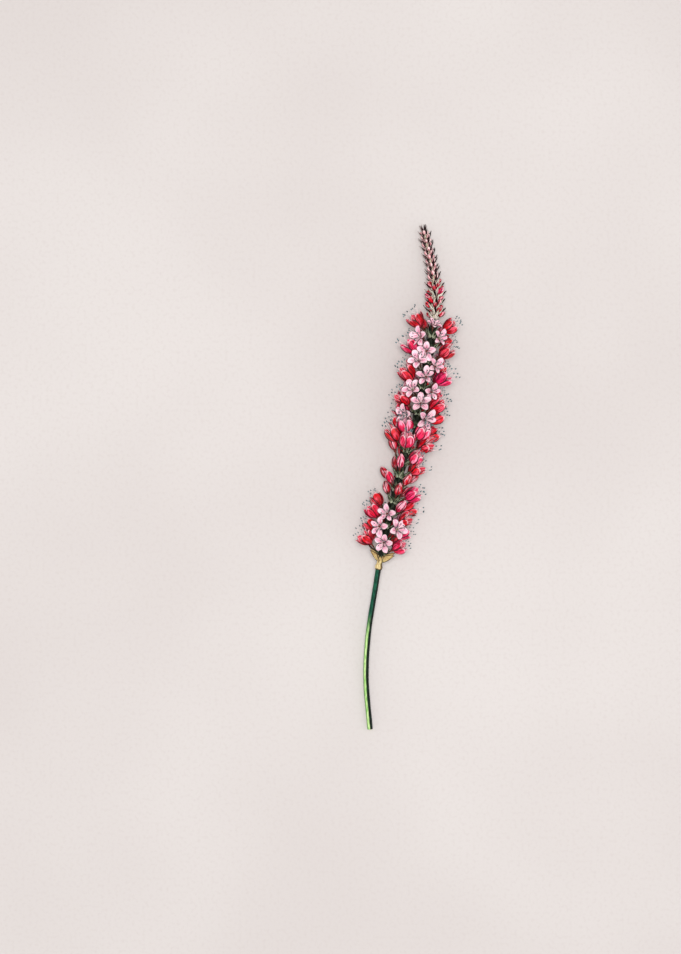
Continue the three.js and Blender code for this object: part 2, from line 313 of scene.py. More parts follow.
# %% Numbers that add nodes
class Number:
    """A number inside a node tree."""

    def __init__(self, tree, socket):
        self.tree = tree
        self.socket = socket

    def op(self, operation, *others):
        node = put(self.tree, "ShaderNodeMath", dict(enumerate((self, *others))), operation=operation)
        return Number(self.tree, node.outputs[0])

    def __add__(self, other):
        return self.op("ADD", other)

    def __sub__(self, other):
        return self.op("SUBTRACT", other)

    def __mul__(self, other):
        return self.op("MULTIPLY", other)

    def __truediv__(self, other):
        return self.op("DIVIDE", other)

    def __pow__(self, other):
        return self.op("POWER", other)

    def rest(self):
        return self * -1.0 + 1.0

    def step(self, low, high):
        """Rises softly from nought at low to one at high."""
        wires = {"Value": self, "From Min": low, "From Max": high}
        node = put(self.tree, "ShaderNodeMapRange", wires, interpolation_type="SMOOTHSTEP")
        return Number(self.tree, node.outputs[0])


def vector(tree, x, y, z):
    """Joins three values into one vector."""
    return put(tree, "ShaderNodeCombineXYZ", {"X": x, "Y": y, "Z": z}).outputs[0]


def parts_of(tree, socket):
    """The three values of a vector, as Numbers."""
    node = put(tree, "ShaderNodeSeparateXYZ", {0: socket})
    return [Number(tree, output) for output in node.outputs]


# %% [markdown]
# ## Running a tree as a workshop tool
#
# In the editor a Geometry Nodes tree sits on an object as a modifier, with its inputs in a panel. Here each
# tree is a tool that is picked up and put down again: it runs on a mesh with the sizes that we give, by the
# identifiers of its inputs, and we keep the plain mesh that comes out and remove the modifier. Every tree
# ends by making its copies real and giving them a material, because an export would lose the copies.

# %% An empty tree, and how every tree ends
SOCKETS = {int: "NodeSocketInt", float: "NodeSocketFloat", str: "NodeSocketString"}
SOCKETS |= {bpy.types.Object: "NodeSocketObject", bpy.types.Material: "NodeSocketMaterial"}


def new_tree(name, **inputs):
    """An empty tree with named inputs. Returns it with a dictionary of its input sockets."""
    tree = bpy.data.node_groups.new(name, "GeometryNodeTree")
    tree.interface.new_socket("Geometry", in_out="INPUT", socket_type="NodeSocketGeometry")
    tree.interface.new_socket("Geometry", in_out="OUTPUT", socket_type="NodeSocketGeometry")
    for label, value in inputs.items():
        kind = value if isinstance(value, type) else type(value)
        socket = tree.interface.new_socket(label, in_out="INPUT", socket_type=SOCKETS[kind])
        if not isinstance(value, type):
            socket.default_value = value
    given = put(tree, "NodeGroupInput")
    sockets = {s.name: s for s in given.outputs if s.name}
    numbers = {k: Number(tree, s) if s.type in ("VALUE", "INT") else s for k, s in sockets.items()}
    return tree, numbers


def end_tree(tree, geometry, material):
    """Every tree ends alike: its instances become real mesh and get their material."""
    real = put(tree, "GeometryNodeRealizeInstances", {"Geometry": geometry})
    dressed = put(tree, "GeometryNodeSetMaterial", {"Geometry": real.outputs[0], "Material": material})
    put(tree, "NodeGroupOutput", {0: dressed.outputs[0]})
    return tree


# %% Running a tree
def run_tree(name, tree, base=None, **sizes):
    """Runs a tree on a mesh, and returns what it makes as a plain mesh object at the origin."""
    maker = bpy.data.objects.new(name + "_maker", base or bpy.data.meshes.new(name + "_start"))
    bpy.context.scene.collection.objects.link(maker)
    modifier = maker.modifiers.new(name, "NODES")
    modifier.node_group = tree
    for item in tree.interface.items_tree:
        if item.in_out == "INPUT" and item.name in sizes:
            modifier[item.identifier] = sizes[item.name]
    depsgraph = bpy.context.evaluated_depsgraph_get()
    solved = maker.evaluated_get(depsgraph)
    mesh = bpy.data.meshes.new_from_object(solved, preserve_all_data_layers=True, depsgraph=depsgraph)
    maker.modifiers.remove(modifier)
    bpy.data.objects.remove(maker)
    mesh.name = name
    piece = bpy.data.objects.new(name, mesh)
    bpy.context.scene.collection.objects.link(piece)
    mesh.calc_loop_triangles()
    print(f"{name}: {len(mesh.loop_triangles)} triangles")
    return piece


def named(tree, name, kind="FLOAT"):
    """Reads a named value that is stored on the points of the geometry."""
    node = put(tree, "GeometryNodeInputNamedAttribute", {"Name": name}, data_type=kind)
    return Number(tree, node.outputs[0]) if kind == "FLOAT" else node.outputs[0]


def store(tree, geometry, name, value, domain="POINT"):
    """Stores a value under a name on the points or the faces of the geometry."""
    wires = {"Geometry": geometry, "Name": name, "Value": value}
    return put(tree, "GeometryNodeStoreNamedAttribute", wires, data_type="FLOAT", domain=domain).outputs[0]


# %% [markdown]
# ## One tree for every lobed thing
#
# An open star, a crimson cup, a closed bud and a pointed bract look unlike, but each is a ring of lobes
# that start at a foot, lean outward by some angle and end at another. A modeller would pull five petals by
# hand and copy them. We let one tree bend a flat grid by a formula instead: the first axis of the grid runs
# up the lobe and the second across it, and named inputs set its length, width and leans. The grid is then
# thickened into a closed blade, and copied round the flower. It also stores where each point is on its
# lobe, so that the colours can follow the petal.

# %% The outline and the bend of one lobe
# The rows of the grid crowd towards the tip by this power, so that its end is drawn round.
TIP_CROWDING = 1.4
# A lobe never comes closer to the axis of its flower than this.
LEAST_RADIUS = 0.0003


def lobe_outline(share, claw, widest, bluntness):
    """Half the width of a lobe along its length: narrow at its claw and rounded or pointed at its end."""
    bulge = (share**widest * math.pi).op("SINE").op("MAXIMUM", 0.0) ** bluntness
    return bulge + share.rest() ** 2.0 * claw


def bent_lobe(tree, given):
    """A flat grid that is bent into one lobe, with its places along and across the lobe stored on it."""
    wires = {"Size X": 1.0, "Size Y": 1.0, "Vertices X": given["Rows"], "Vertices Y": given["Columns"]}
    grid = put(tree, "GeometryNodeMeshGrid", wires)
    x, y, _ = parts_of(tree, put(tree, "GeometryNodeInputPosition").outputs[0])
    along, across = ((x + 0.5).rest() ** TIP_CROWDING).rest(), y * 2.0
    marked = store(tree, store(tree, grid.outputs[0], "along", along), "across", across)
    along, across = named(tree, "along"), named(tree, "across")

    start, bend = given["Start Lean"], given["End Lean"] - given["Start Lean"]
    lean = start + bend * along
    out = given["Foot"] + given["Length"] * (start.op("COSINE") - lean.op("COSINE")) / bend
    up = given["Length"] * (lean.op("SINE") - start.op("SINE")) / bend
    outline = lobe_outline(along, given["Claw"], given["Widest"], given["Bluntness"])
    round_axis = (out + given["Curl"]).op("MAXIMUM", LEAST_RADIUS)
    swing = across * given["Half Width"] * outline / round_axis
    bowl = given["Bowl"] * across * across * outline
    radius = round_axis + given["Overlap"] * across - bowl * lean.op("COSINE")
    height = up + bowl * lean.op("SINE")
    place = vector(tree, radius * swing.op("COSINE") - given["Curl"], radius * swing.op("SINE"), height)
    return put(tree, "GeometryNodeSetPosition", {"Geometry": marked, "Position": place}).outputs[0]


# %% [markdown]
# ### A blade with two faces
#
# A petal is thin, but it has to be closed: one face without a back vanishes in some programs and has no
# inside to colour. The inner face is pushed out of the outer one, as the Solidify modifier would do, and
# the outer one is turned over. Doing it in the tree lets us mark which face is the inner one.

# %% The thickness of a lobe
# Points of the two faces that are closer than this are welded into one.
WELD_DISTANCE = 0.000001


def closed_blade(tree, bent, thickness):
    """A closed blade from a flat lobe. Its value inner is one on the inner face and nought elsewhere."""
    wires = {"Mesh": bent, "Offset Scale": thickness, "Individual": False}
    thick = put(tree, "GeometryNodeExtrudeMesh", wires, mode="FACES")
    inside = store(tree, thick.outputs["Mesh"], "inner", thick.outputs["Top"], "FACE")
    turned = put(tree, "GeometryNodeFlipFaces", {"Mesh": bent})
    outside = store(tree, turned.outputs[0], "inner", 0.0, "FACE")
    both = put(tree, "GeometryNodeJoinGeometry")
    tree.links.new(inside, both.inputs[0])
    tree.links.new(outside, both.inputs[0])
    weld = {"Geometry": both.outputs[0], "Distance": WELD_DISTANCE}
    closed = put(tree, "GeometryNodeMergeByDistance", weld)
    return put(tree, "GeometryNodeSetShadeSmooth", {"Geometry": closed.outputs[0]}).outputs[0]


# %% The lobes round a flower, and the whole tree
def ring_of_lobes(tree, given, blade):
    """Copies of a lobe that stand round the flower, with small seeded differences in turn, nod and size."""
    line = put(tree, "GeometryNodeMeshLine", {"Count": given["Lobes"], "Offset": (0, 0, 0)})
    index = Number(tree, put(tree, "GeometryNodeInputIndex").outputs[0])
    marked = store(tree, line.outputs[0], "lobe", index)

    def chance(low, high, shift):
        wires = {2: low, 3: high, "ID": index, "Seed": given["Seed"] + shift}
        return Number(tree, put(tree, "FunctionNodeRandomValue", wires, data_type="FLOAT").outputs[1])

    nod = chance(-1.0, 1.0, 0) * given["Unevenness"]
    turn = index * (2 * math.pi) / given["Lobes"] + chance(-1.0, 1.0, 1) * given["Unevenness"]
    euler = put(tree, "FunctionNodeEulerToRotation", {0: vector(tree, 0.0, nod, turn)})
    grow = chance(-0.7, 0.7, 2) * given["Unevenness"] + 1.0
    wires = {"Points": marked, "Instance": blade, "Rotation": euler.outputs[0]}
    wires |= {"Scale": vector(tree, grow, grow, grow)}
    return put(tree, "GeometryNodeInstanceOnPoints", wires).outputs[0]


def lobed_flower_tree():
    """The tree for stars, cups, buds and bracts, with its sizes in metres and its leans in radians."""
    tree, given = new_tree(
        "lobed_flower",
        **{"Lobes": 5, "Rows": 9, "Columns": 5, "Length": 0.0039, "Foot": 0.0005},
        **{"Start Lean": 0.56, "End Lean": 1.6, "Half Width": 0.001, "Claw": 0.3},
        **{"Widest": 1.6, "Bluntness": 0.6, "Overlap": 0.0001, "Bowl": 0.0, "Curl": 0.0},
        **{"Thickness": 0.00016, "Unevenness": 0.05, "Seed": 1, "Material": bpy.types.Material},
    )
    blade = closed_blade(tree, bent_lobe(tree, given), given["Thickness"])
    return end_tree(tree, ring_of_lobes(tree, given, blade), given["Material"])


LOBED_FLOWER = lobed_flower_tree()
print("the lobed flower tree has", len(LOBED_FLOWER.nodes), "nodes")

# %% [markdown]
# ## One tree to set the flowers out
#
# The pattern of each kind is made once. A second tree copies it onto a cloud of points that carry its turn,
# its size and its tint, so that no two flowers are alike. Where flowers touch the table they give way, so
# the tree ends by pressing whatever would sink below the surface into a thin layer just above it.

# %% Pressing what is low onto the surface
# Whatever lies lower than SETTLE is squeezed into the layer from LEAST_HEIGHT up to SETTLE.
SETTLE = 0.0006
LEAST_HEIGHT = 0.00003


def pressed_on_surface(tree, geometry, pressed=1.0):
    """Squeezes the lowest part of the geometry, so that it never reaches below the table."""
    x, y, z = parts_of(tree, put(tree, "GeometryNodeInputPosition").outputs[0])
    layer = SETTLE - LEAST_HEIGHT
    squeezed = ((z - SETTLE) / layer).op("EXPONENT") * layer + LEAST_HEIGHT
    low = z.op("LESS_THAN", SETTLE) * pressed
    height = z + low * (squeezed - z)
    wires = {"Geometry": geometry, "Position": vector(tree, x, y, height)}
    return put(tree, "GeometryNodeSetPosition", wires).outputs[0]


# %% The setting-out tree
def set_out_tree():
    """Copies a pattern onto points, ruffles the petals a little and presses down what is too low."""
    tree, given = new_tree(
        "set_out",
        **{"Pattern": bpy.types.Object, "Waviness": 0.00022, "Wave Scale": 600.0},
        **{"Material": bpy.types.Material},
    )
    pattern = put(tree, "GeometryNodeObjectInfo", {"Object": given["Pattern"]})
    turn = put(tree, "FunctionNodeEulerToRotation", {0: named(tree, "turned", "FLOAT_VECTOR")})
    size = named(tree, "size")
    wires = {"Points": given["Geometry"], "Instance": pattern.outputs["Geometry"]}
    wires |= {"Rotation": turn.outputs[0], "Scale": vector(tree, size, size, size)}
    copies = put(tree, "GeometryNodeInstanceOnPoints", wires)
    real = put(tree, "GeometryNodeRealizeInstances", {"Geometry": copies.outputs[0]})
    ruffle = put(tree, "ShaderNodeTexNoise", {"Scale": given["Wave Scale"], "Detail": 1.0})
    centred = {0: ruffle.outputs["Color"], 1: (0.5, 0.5, 0.5)}
    wave = put(tree, "ShaderNodeVectorMath", centred, operation="SUBTRACT")
    push = put(tree, "ShaderNodeVectorMath", {0: wave.outputs[0], 3: given["Waviness"]}, operation="SCALE")
    waved = put(tree, "GeometryNodeSetPosition", {"Geometry": real.outputs[0], "Offset": push.outputs[0]})
    return end_tree(tree, pressed_on_surface(tree, waved.outputs[0]), given["Material"])


SET_OUT = set_out_tree()
print("the setting-out tree has", len(SET_OUT.nodes), "nodes")

# %% [markdown]
# ### From a list of spots to a piece
#
# A spot is a small dictionary in Python: where the foot of the flower is, how it is turned, its size and
# its tint. The list becomes a mesh of loose points that carry these values as attributes, which is how a
# tree reads them. The pattern object is only a mould, so it is thrown away after the copies are made.

# %% Spots and their copies
def point_cloud(name, places, **values):
    """A mesh of loose points with named values on them: numbers, or triples for vectors."""
    mesh = bpy.data.meshes.new(name)
    mesh.from_pydata([tuple(p * MM) for p in places], [], [])
    for label, numbers in values.items():
        if isinstance(numbers[0], float):
            mesh.attributes.new(label, "FLOAT", "POINT").data.foreach_set("value", numbers)
        else:
            flat = [v for triple in numbers for v in triple]
            mesh.attributes.new(label, "FLOAT_VECTOR", "POINT").data.foreach_set("vector", flat)
    return mesh


def set_out(name, pattern, spots, material, **sizes):
    """Copies a pattern object onto spots, each a dictionary with foot, turned, size and tint."""
    cloud = point_cloud(
        name + "_spots",
        [s["foot"] for s in spots],
        turned=[tuple(s["turned"]) for s in spots],
        size=[float(s["size"]) for s in spots],
        tint=[float(s["tint"]) for s in spots],
    )
    piece = run_tree(name, SET_OUT, cloud, Pattern=pattern, Material=material, **sizes)
    bpy.data.objects.remove(pattern)
    return piece


# %% [markdown]
# ## One tree for stalks, pedicels and stamens
#
# Everything long and thin is a tube along a line. In the editor it would be a curve with a bevel; here each
# line is a chain of points that carry their radius, so that one tree makes the thick stalk, the curved
# pedicels and even the stamens, whose anther is only a place where the radius swells.

# %% The tube tree
def tube_tree():
    """Turns chains of points into closed tubes with ribs and a little waviness."""
    tree, given = new_tree(
        "tube",
        **{"Sides": 8, "Ribs": 0.0, "Rib Depth": 0.0, "Waviness": 0.0, "Wave Scale": 300.0},
        **{"Pressed": 1.0, "Material": bpy.types.Material},
    )
    line = put(tree, "GeometryNodeMeshToCurve", {"Mesh": given["Geometry"]})
    ring = put(tree, "GeometryNodeCurvePrimitiveCircle", {"Resolution": given["Sides"], "Radius": 1.0})
    index = Number(tree, put(tree, "GeometryNodeInputIndex").outputs[0])
    marked = store(tree, ring.outputs[0], "around", index / given["Sides"])
    wires = {"Curve": line.outputs[0], "Profile Curve": marked, "Scale": named(tree, "radius")}
    wall = put(tree, "GeometryNodeCurveToMesh", wires | {"Fill Caps": True})
    ripple = put(tree, "ShaderNodeTexNoise", {"Scale": given["Wave Scale"], "Detail": 1.0})
    wave = (Number(tree, ripple.outputs[0]) - 0.5) * given["Waviness"]
    rib = (named(tree, "around") * given["Ribs"] * (2 * math.pi)).op("COSINE") * given["Rib Depth"]
    normal = put(tree, "GeometryNodeInputNormal").outputs[0]
    # The x of the normal is stored as "sideways", so that the skins of the stalk and the knob can paint shade
    # on one side.
    sided = store(tree, wall.outputs[0], "sideways", parts_of(tree, normal)[0])
    push = put(tree, "ShaderNodeVectorMath", {0: normal, 3: rib + wave}, operation="SCALE")
    waved = put(tree, "GeometryNodeSetPosition", {"Geometry": sided, "Offset": push.outputs[0]})
    smooth = put(tree, "GeometryNodeSetShadeSmooth", {"Geometry": waved.outputs[0]})
    low = pressed_on_surface(tree, smooth.outputs[0], given["Pressed"])
    return end_tree(tree, low, given["Material"])


TUBE = tube_tree()
print("the tube tree has", len(TUBE.nodes), "nodes")


# %% Lines for the tubes
def tubes(name, lines, material, **sizes):
    """Makes tubes along lines, each a dictionary with its places and radii in mm, and its tint."""
    mesh = bpy.data.meshes.new(name + "_lines")
    places = [p for line in lines for p in line["places"]]
    edges, along, tints = [], [], []
    for line in lines:
        first, count = len(along), len(line["places"])
        edges += [(first + i, first + i + 1) for i in range(count - 1)]
        along += [i / (count - 1) for i in range(count)]
        tints += [float(line["tint"])] * count
    mesh.from_pydata([tuple(p * MM) for p in places], edges, [])
    radii = [r * MM for line in lines for r in line["radii"]]
    for label, numbers in (("radius", radii), ("along", along), ("tint", tints)):
        mesh.attributes.new(label, "FLOAT", "POINT").data.foreach_set("value", numbers)
    return run_tree(name, TUBE, mesh, Material=material, **sizes)


def bent_line(start, leaving, arriving, end, steps):
    """Points along a smooth bend that leaves start towards one point and reaches end from another."""
    points = []
    for step in range(steps + 1):
        s = step / steps
        r = 1 - s
        points.append(start * r**3 + leaving * 3 * r * r * s + arriving * 3 * r * s * s + end * s**3)
    return points


# %% [markdown]
# ## Colours that follow the petal
#
# Each skin is a small tree of shader nodes. The places along and across the lobe, which the geometry
# stored, let a streak run the length of a petal and a pale rim follow its tip. The tint of the flower
# shifts it all a little, as no two real flowers have quite the same colour. We write colours as the usual
# numbers up to 255.

# %% Helpers for node materials
def colour(red, green, blue):
    """The linear values that Blender works with, for a colour given in the usual numbers up to 255."""
    return (*[((c / 255 + 0.055) / 1.055) ** 2.4 for c in (red, green, blue)], 1.0)


print("crimson in linear values:", [round(v, 3) for v in colour(220, 6, 28)])


def mix(tree, share, first, second):
    """The first colour where share is nought, and the second where it is one."""
    return put(tree, "ShaderNodeMix", {0: share, 6: first, 7: second}, data_type="RGBA").outputs[2]


def noise(tree, at, scale, detail):
    """A soft random pattern with values from nought to one."""
    wires = {"Vector": at, "Scale": scale, "Detail": detail}
    return Number(tree, put(tree, "ShaderNodeTexNoise", wires).outputs[0])


def stored(tree, name):
    """Reads a value that the geometry has stored on the mesh."""
    return Number(tree, put(tree, "ShaderNodeAttribute", attribute_name=name).outputs["Fac"])


def object_place(tree):
    """Where a point lies on its own object, in metres."""
    return put(tree, "ShaderNodeTexCoord").outputs["Object"]


def bumped(tree, height, strength, distance):
    """A fine relief that stands proud where height is large."""
    wires = {"Height": height, "Strength": strength, "Distance": distance}
    return put(tree, "ShaderNodeBump", wires).outputs[0]


def skin(name, roughness, gloss, shade):
    """A material whose colour and bump come from the function shade, which wires them into its tree."""
    material = bpy.data.materials.new(name)
    material.use_nodes = True
    tree = material.node_tree
    shader = tree.nodes["Principled BSDF"]
    shader.inputs["Roughness"].default_value = roughness
    shader.inputs["Specular IOR Level"].default_value = gloss
    tone, bump = shade(tree)
    wire(tree, tone, shader.inputs["Base Color"])
    wire(tree, bump, shader.inputs["Normal"])
    return material


# %% [markdown]
# ### Petals: a body, streaks, a painted highlight and painted shade at the edges
#
# A crimson cup is deep red with darker streaks from foot to tip, a soft pink painted highlight in places, a
# pale lip that is partly a painted highlight, and nearly black painted shade along the seams between its
# lobes; an open star shows its pale inside, with fine veins, a dark middle line, a bright throat and painted
# shade at its edges.
# An image painted on the petals could look right from one side only. A few noises that are stretched along
# the lobe look right from all sides, and a new shift for each lobe keeps two of them from being alike. One
# function with many colours makes the skins of all five kinds of petal.

# %% The shading of a petal
def tinted(tree, tone, low, high, rosy=0.0):
    """Makes a colour darker or lighter from flower to flower, and some flowers more rosy."""
    tint = stored(tree, "tint")
    wires = {"Color": tone, "Value": tint * (high - low) + low, "Hue": tint.step(0.7, 0.95) * rosy + 0.5}
    return put(tree, "ShaderNodeHueSaturation", wires).outputs[0]


def petal_skin(name, body, deep, painted_highlight, rim_and_highlight, painted_seam_shade, foot, inner, throat, line, painted_highlight_from=0.48, rosy=0.0):
    """Colours: body, deep streaks, painted highlight, foot outside; pale lip, painted shade at the edges; the
    rest inside.
    """

    def shade(tree):
        along, across, inside = (stored(tree, key) for key in ("along", "across", "inner"))
        shift = stored(tree, "tint") * 37.0 + stored(tree, "lobe") * 5.3
        at = vector(tree, across * 1.5 + shift, along * 0.55, shift)
        streaks = noise(tree, at, 3.2, 3.0)
        soft = noise(tree, vector(tree, across + shift, along * 1.6, shift), 1.3, 1.0)
        veins = (across * 8.0).op("COSINE").op("ABSOLUTE") ** 12.0 * along.step(1.0, 0.55)
        edge = across.op("ABSOLUTE")
        middle = edge.step(0.17, 0.03) * along.step(0.82, 0.3)

        # The outside: a painted highlight in soft patches, dark streaks and middle line, then the pale lip,
        # partly a painted highlight, the painted shade along the seams between the lobes, and the foot.
        outside = mix(tree, soft.step(painted_highlight_from, painted_highlight_from + 0.16), body, painted_highlight)
        outside = mix(tree, streaks.step(0.47, 0.6), outside, deep)
        outside = mix(tree, middle * 0.7, outside, deep)
        outside = mix(tree, (along + edge * 0.12).step(0.9, 1.06), outside, rim_and_highlight)
        outside = mix(tree, edge.step(0.68, 0.93) * along.step(1.0, 0.9), outside, painted_seam_shade)
        outside = mix(tree, along.step(0.2, 0.0), outside, foot)

        # The inside: the same painted highlight, fine veins, a pale border that is partly a painted
        # highlight, the throat, a middle line, and painted shade along the edges, broad near the foot.
        within = mix(tree, soft.step(painted_highlight_from - 0.04, painted_highlight_from + 0.12) * 0.8, inner, painted_highlight)
        within = mix(tree, veins * 0.6, within, deep)
        within = mix(tree, edge.step(0.55, 0.85) * 0.8, within, rim_and_highlight)
        within = mix(tree, along.step(0.3, 0.05), within, throat)
        within = mix(tree, middle * 0.85, within, line)
        within = mix(tree, edge.step(0.3, 0.9) * along.step(0.65, 0.3), within, painted_seam_shade)
        within = mix(tree, edge.step(0.78, 0.97) * 0.8, within, painted_seam_shade)
        tone = tinted(tree, mix(tree, inside, outside, within), 0.88, 1.12, rosy)
        return tone, bumped(tree, streaks + veins * 0.4, 0.5, 0.0002)

    return skin(name, 0.5, 0.3, shade)


# %% The colours of the five petal skins
# Each skin gives the colour of a painted highlight, of a pale lip that is partly a painted highlight, and of
# the painted shade between the lobes.
CRIMSON = petal_skin(
    "crimson_petal",
    body=colour(220, 6, 28),
    deep=colour(128, 0, 16),
    painted_highlight=colour(248, 80, 106),
    rim_and_highlight=colour(255, 196, 206),
    painted_seam_shade=colour(44, 0, 8),
    foot=colour(120, 26, 34),
    inner=colour(220, 46, 72),
    throat=colour(150, 16, 36),
    line=colour(140, 8, 34),
    painted_highlight_from=0.46,
    rosy=-0.016,
)
PINK = petal_skin(
    "pink_petal",
    body=colour(248, 176, 198),
    deep=colour(206, 84, 126),
    painted_highlight=colour(255, 224, 232),
    rim_and_highlight=colour(255, 238, 242),
    painted_seam_shade=colour(62, 12, 30),
    foot=colour(226, 196, 186),
    inner=colour(248, 176, 200),
    throat=colour(252, 226, 228),
    line=colour(120, 32, 70),
)
ROSY = petal_skin(
    "rosy_petal",
    body=colour(236, 40, 92),
    deep=colour(170, 8, 50),
    painted_highlight=colour(255, 160, 190),
    rim_and_highlight=colour(255, 206, 216),
    painted_seam_shade=colour(56, 0, 16),
    foot=colour(140, 34, 52),
    inner=colour(236, 84, 116),
    throat=colour(160, 24, 48),
    line=colour(150, 14, 46),
    painted_highlight_from=0.44,
)
BUD = petal_skin(
    "bud_petal",
    body=colour(220, 12, 42),
    deep=colour(130, 0, 20),
    painted_highlight=colour(255, 180, 194),
    rim_and_highlight=colour(255, 196, 204),
    painted_seam_shade=colour(44, 0, 8),
    foot=colour(92, 40, 34),
    inner=colour(208, 44, 68),
    throat=colour(120, 16, 30),
    line=colour(120, 6, 26),
    rosy=-0.014,
)
PALE_BUD = petal_skin(
    "pale_bud_petal",
    body=colour(250, 214, 212),
    deep=colour(196, 84, 108),
    painted_highlight=colour(255, 244, 240),
    rim_and_highlight=colour(255, 240, 236),
    painted_seam_shade=colour(150, 66, 80),
    foot=colour(150, 140, 100),
    inner=colour(232, 140, 150),
    throat=colour(180, 80, 90),
    line=colour(110, 24, 40),
)

# %% [markdown]
# ### The green stalk
#
# The stalk is lime near its cut end and deep teal under the flowers, and light and shade are painted on it.
# Low down, a pale lime strip on its left is a painted highlight, darker green at its far edge, and all along,
# its right side is painted shade, almost black with green fibres. The painted light and shade stay where they
# are when
# the stem is turned: they follow the stored value "sideways", the direction that the skin faces when the stem
# lies still, and a ragged noise breaks their edge.

# %% The skin of the stalk
def stalk_shade(tree):
    """Lime below, teal above, a painted highlight on the left low down, painted shade on the right with green
    fibres, and a pale cut.
    """
    x, y, z = parts_of(tree, object_place(tree))
    along = stored(tree, "along")
    fibres = noise(tree, vector(tree, x * 9.0, y, z * 9.0), 420.0, 3.0)
    ragged = noise(tree, vector(tree, x * 3.0, y, z * 3.0), 260.0, 2.0) * 0.4 - 0.2
    side = stored(tree, "sideways") + ragged - along.step(0.5, 0.8) * 0.35
    # Low down, the left of the stalk is a pale lime strip: a painted highlight.
    light = mix(tree, fibres.step(0.4, 0.62), colour(198, 226, 156), colour(128, 186, 92))
    # Painted shade: darker green at the far left edge of that strip.
    light = mix(tree, (side * -1.0).step(0.6, 0.95), light, colour(96, 150, 74))
    deep = mix(tree, fibres.step(0.42, 0.62), colour(20, 88, 64), colour(8, 44, 34))
    tone = mix(tree, (along + ragged * 0.3).step(0.54, 0.72), light, deep)
    # Painted shade: the right side is almost black, with green fibres.
    dark = mix(tree, fibres.step(0.45, 0.65), colour(2, 10, 6), colour(12, 40, 26))
    tone = mix(tree, side.step(-0.22, 0.12), tone, dark)
    tone = mix(tree, along.step(0.0022, 0.0016), tone, colour(206, 216, 160))
    return tone, bumped(tree, fibres, 0.5, 0.0002)


# %% The skins of the axis and the pedicels
def axis_skin(name, body, fibre, patch):
    """A fibrous skin with some patches of a third colour."""

    def shade(tree):
        x, y, z = parts_of(tree, object_place(tree))
        fibres = noise(tree, vector(tree, x * 6.0, y, z * 6.0), 520.0, 3.0)
        patches = noise(tree, object_place(tree), 380.0, 2.0)
        tone = mix(tree, fibres.step(0.42, 0.62), body, fibre)
        tone = mix(tree, patches.step(0.58, 0.74) * 0.6, tone, patch)
        return tone, bumped(tree, fibres, 0.6, 0.0002)

    return skin(name, 0.7, 0.1, shade)


def pedicel_shade(tree):
    """Dark green that turns to brown-red at the flower, with pale flecks."""
    along = stored(tree, "along")
    fine = noise(tree, object_place(tree), 900.0, 2.0)
    tone = mix(tree, along.step(0.3, 0.9), colour(34, 42, 28), colour(104, 44, 40))
    tone = mix(tree, fine.step(0.56, 0.72) * 0.6, tone, colour(150, 166, 122))
    return tinted(tree, tone, 0.8, 1.2), bumped(tree, fine, 0.4, 0.0001)


# %% [markdown]
# ### The dry sheath
#
# The sheath is dead tissue: straw-coloured, matt, ribbed along its length, brown at its torn rim and almost
# black along its edges. Its round foot has the same fibres, which run round the tube here, so it reads the
# value "around" in place of "across".

# %% The skins of the sheath
def sheath_shade(tree):
    """Straw with brown fibres, a brown tip, a greenish foot and dark edges."""
    along, across = stored(tree, "along"), stored(tree, "across")
    shift = stored(tree, "tint") * 11.0 + stored(tree, "lobe") * 3.7
    fibres = noise(tree, vector(tree, across * 2.4 + shift, along * 0.5, shift), 4.0, 3.0)
    tone = mix(tree, fibres.step(0.42, 0.6), colour(212, 190, 132), colour(150, 112, 62))
    tone = mix(tree, along.step(0.72, 1.0) * 0.8, tone, colour(112, 74, 44))
    tone = mix(tree, along.step(0.25, 0.0) * 0.6, tone, colour(138, 140, 74))
    edge = across.op("ABSOLUTE")
    tone = mix(tree, edge.step(0.6, 0.88) * 0.95, tone, colour(46, 28, 16))
    return tone, bumped(tree, fibres, 0.7, 0.0002)


def knob_shade(tree):
    """Straw with brown fibres, greenish patches, painted shade on the right side and a dark foot."""
    along, around = stored(tree, "along"), stored(tree, "around")
    fibres = noise(tree, vector(tree, around * 9.0, along * 1.1, 0.0), 3.0, 3.0)
    patches = noise(tree, object_place(tree), 700.0, 2.0)
    tone = mix(tree, fibres.step(0.45, 0.6), colour(230, 212, 156), colour(150, 112, 62))
    tone = mix(tree, patches.step(0.55, 0.72) * 0.6, tone, colour(176, 176, 110))
    # Painted shade: the right side of the knob is dark brown.
    tone = mix(tree, stored(tree, "sideways").step(0.2, 0.75) * 0.85, tone, colour(64, 40, 24))
    tone = mix(tree, along.step(0.2, 0.06), tone, colour(54, 34, 22))
    return tone, bumped(tree, fibres, 0.7, 0.0002)


# %% [markdown]
# ### Bracts and stamens
#
# A bract is a small pointed leaf at the foot of a flower. Light and shade are painted on them: those out in
# the light have pale stripes, which are painted highlights, those against the axis are almost black, which is
# painted shade, and between the young buds they are cream. The three differ only in their colours and in the
# share of stripes. The bracts of the tip are narrow dark strokes with a pale foot.
# A stamen changes from its pale thread to its blue-grey anther halfway along the chain of points that it is
# made from.

# %% The skins of the bracts and stamens
def bract_pattern(tree):
    """The place along a bract, how near its edge it is, and fibres that run from foot to tip."""
    along, across = stored(tree, "along"), stored(tree, "across")
    shift = stored(tree, "tint") * 23.0
    fibres = noise(tree, vector(tree, across * 2.0 + shift, along * 0.6, shift), 3.5, 2.0)
    return along, across.op("ABSOLUTE"), fibres


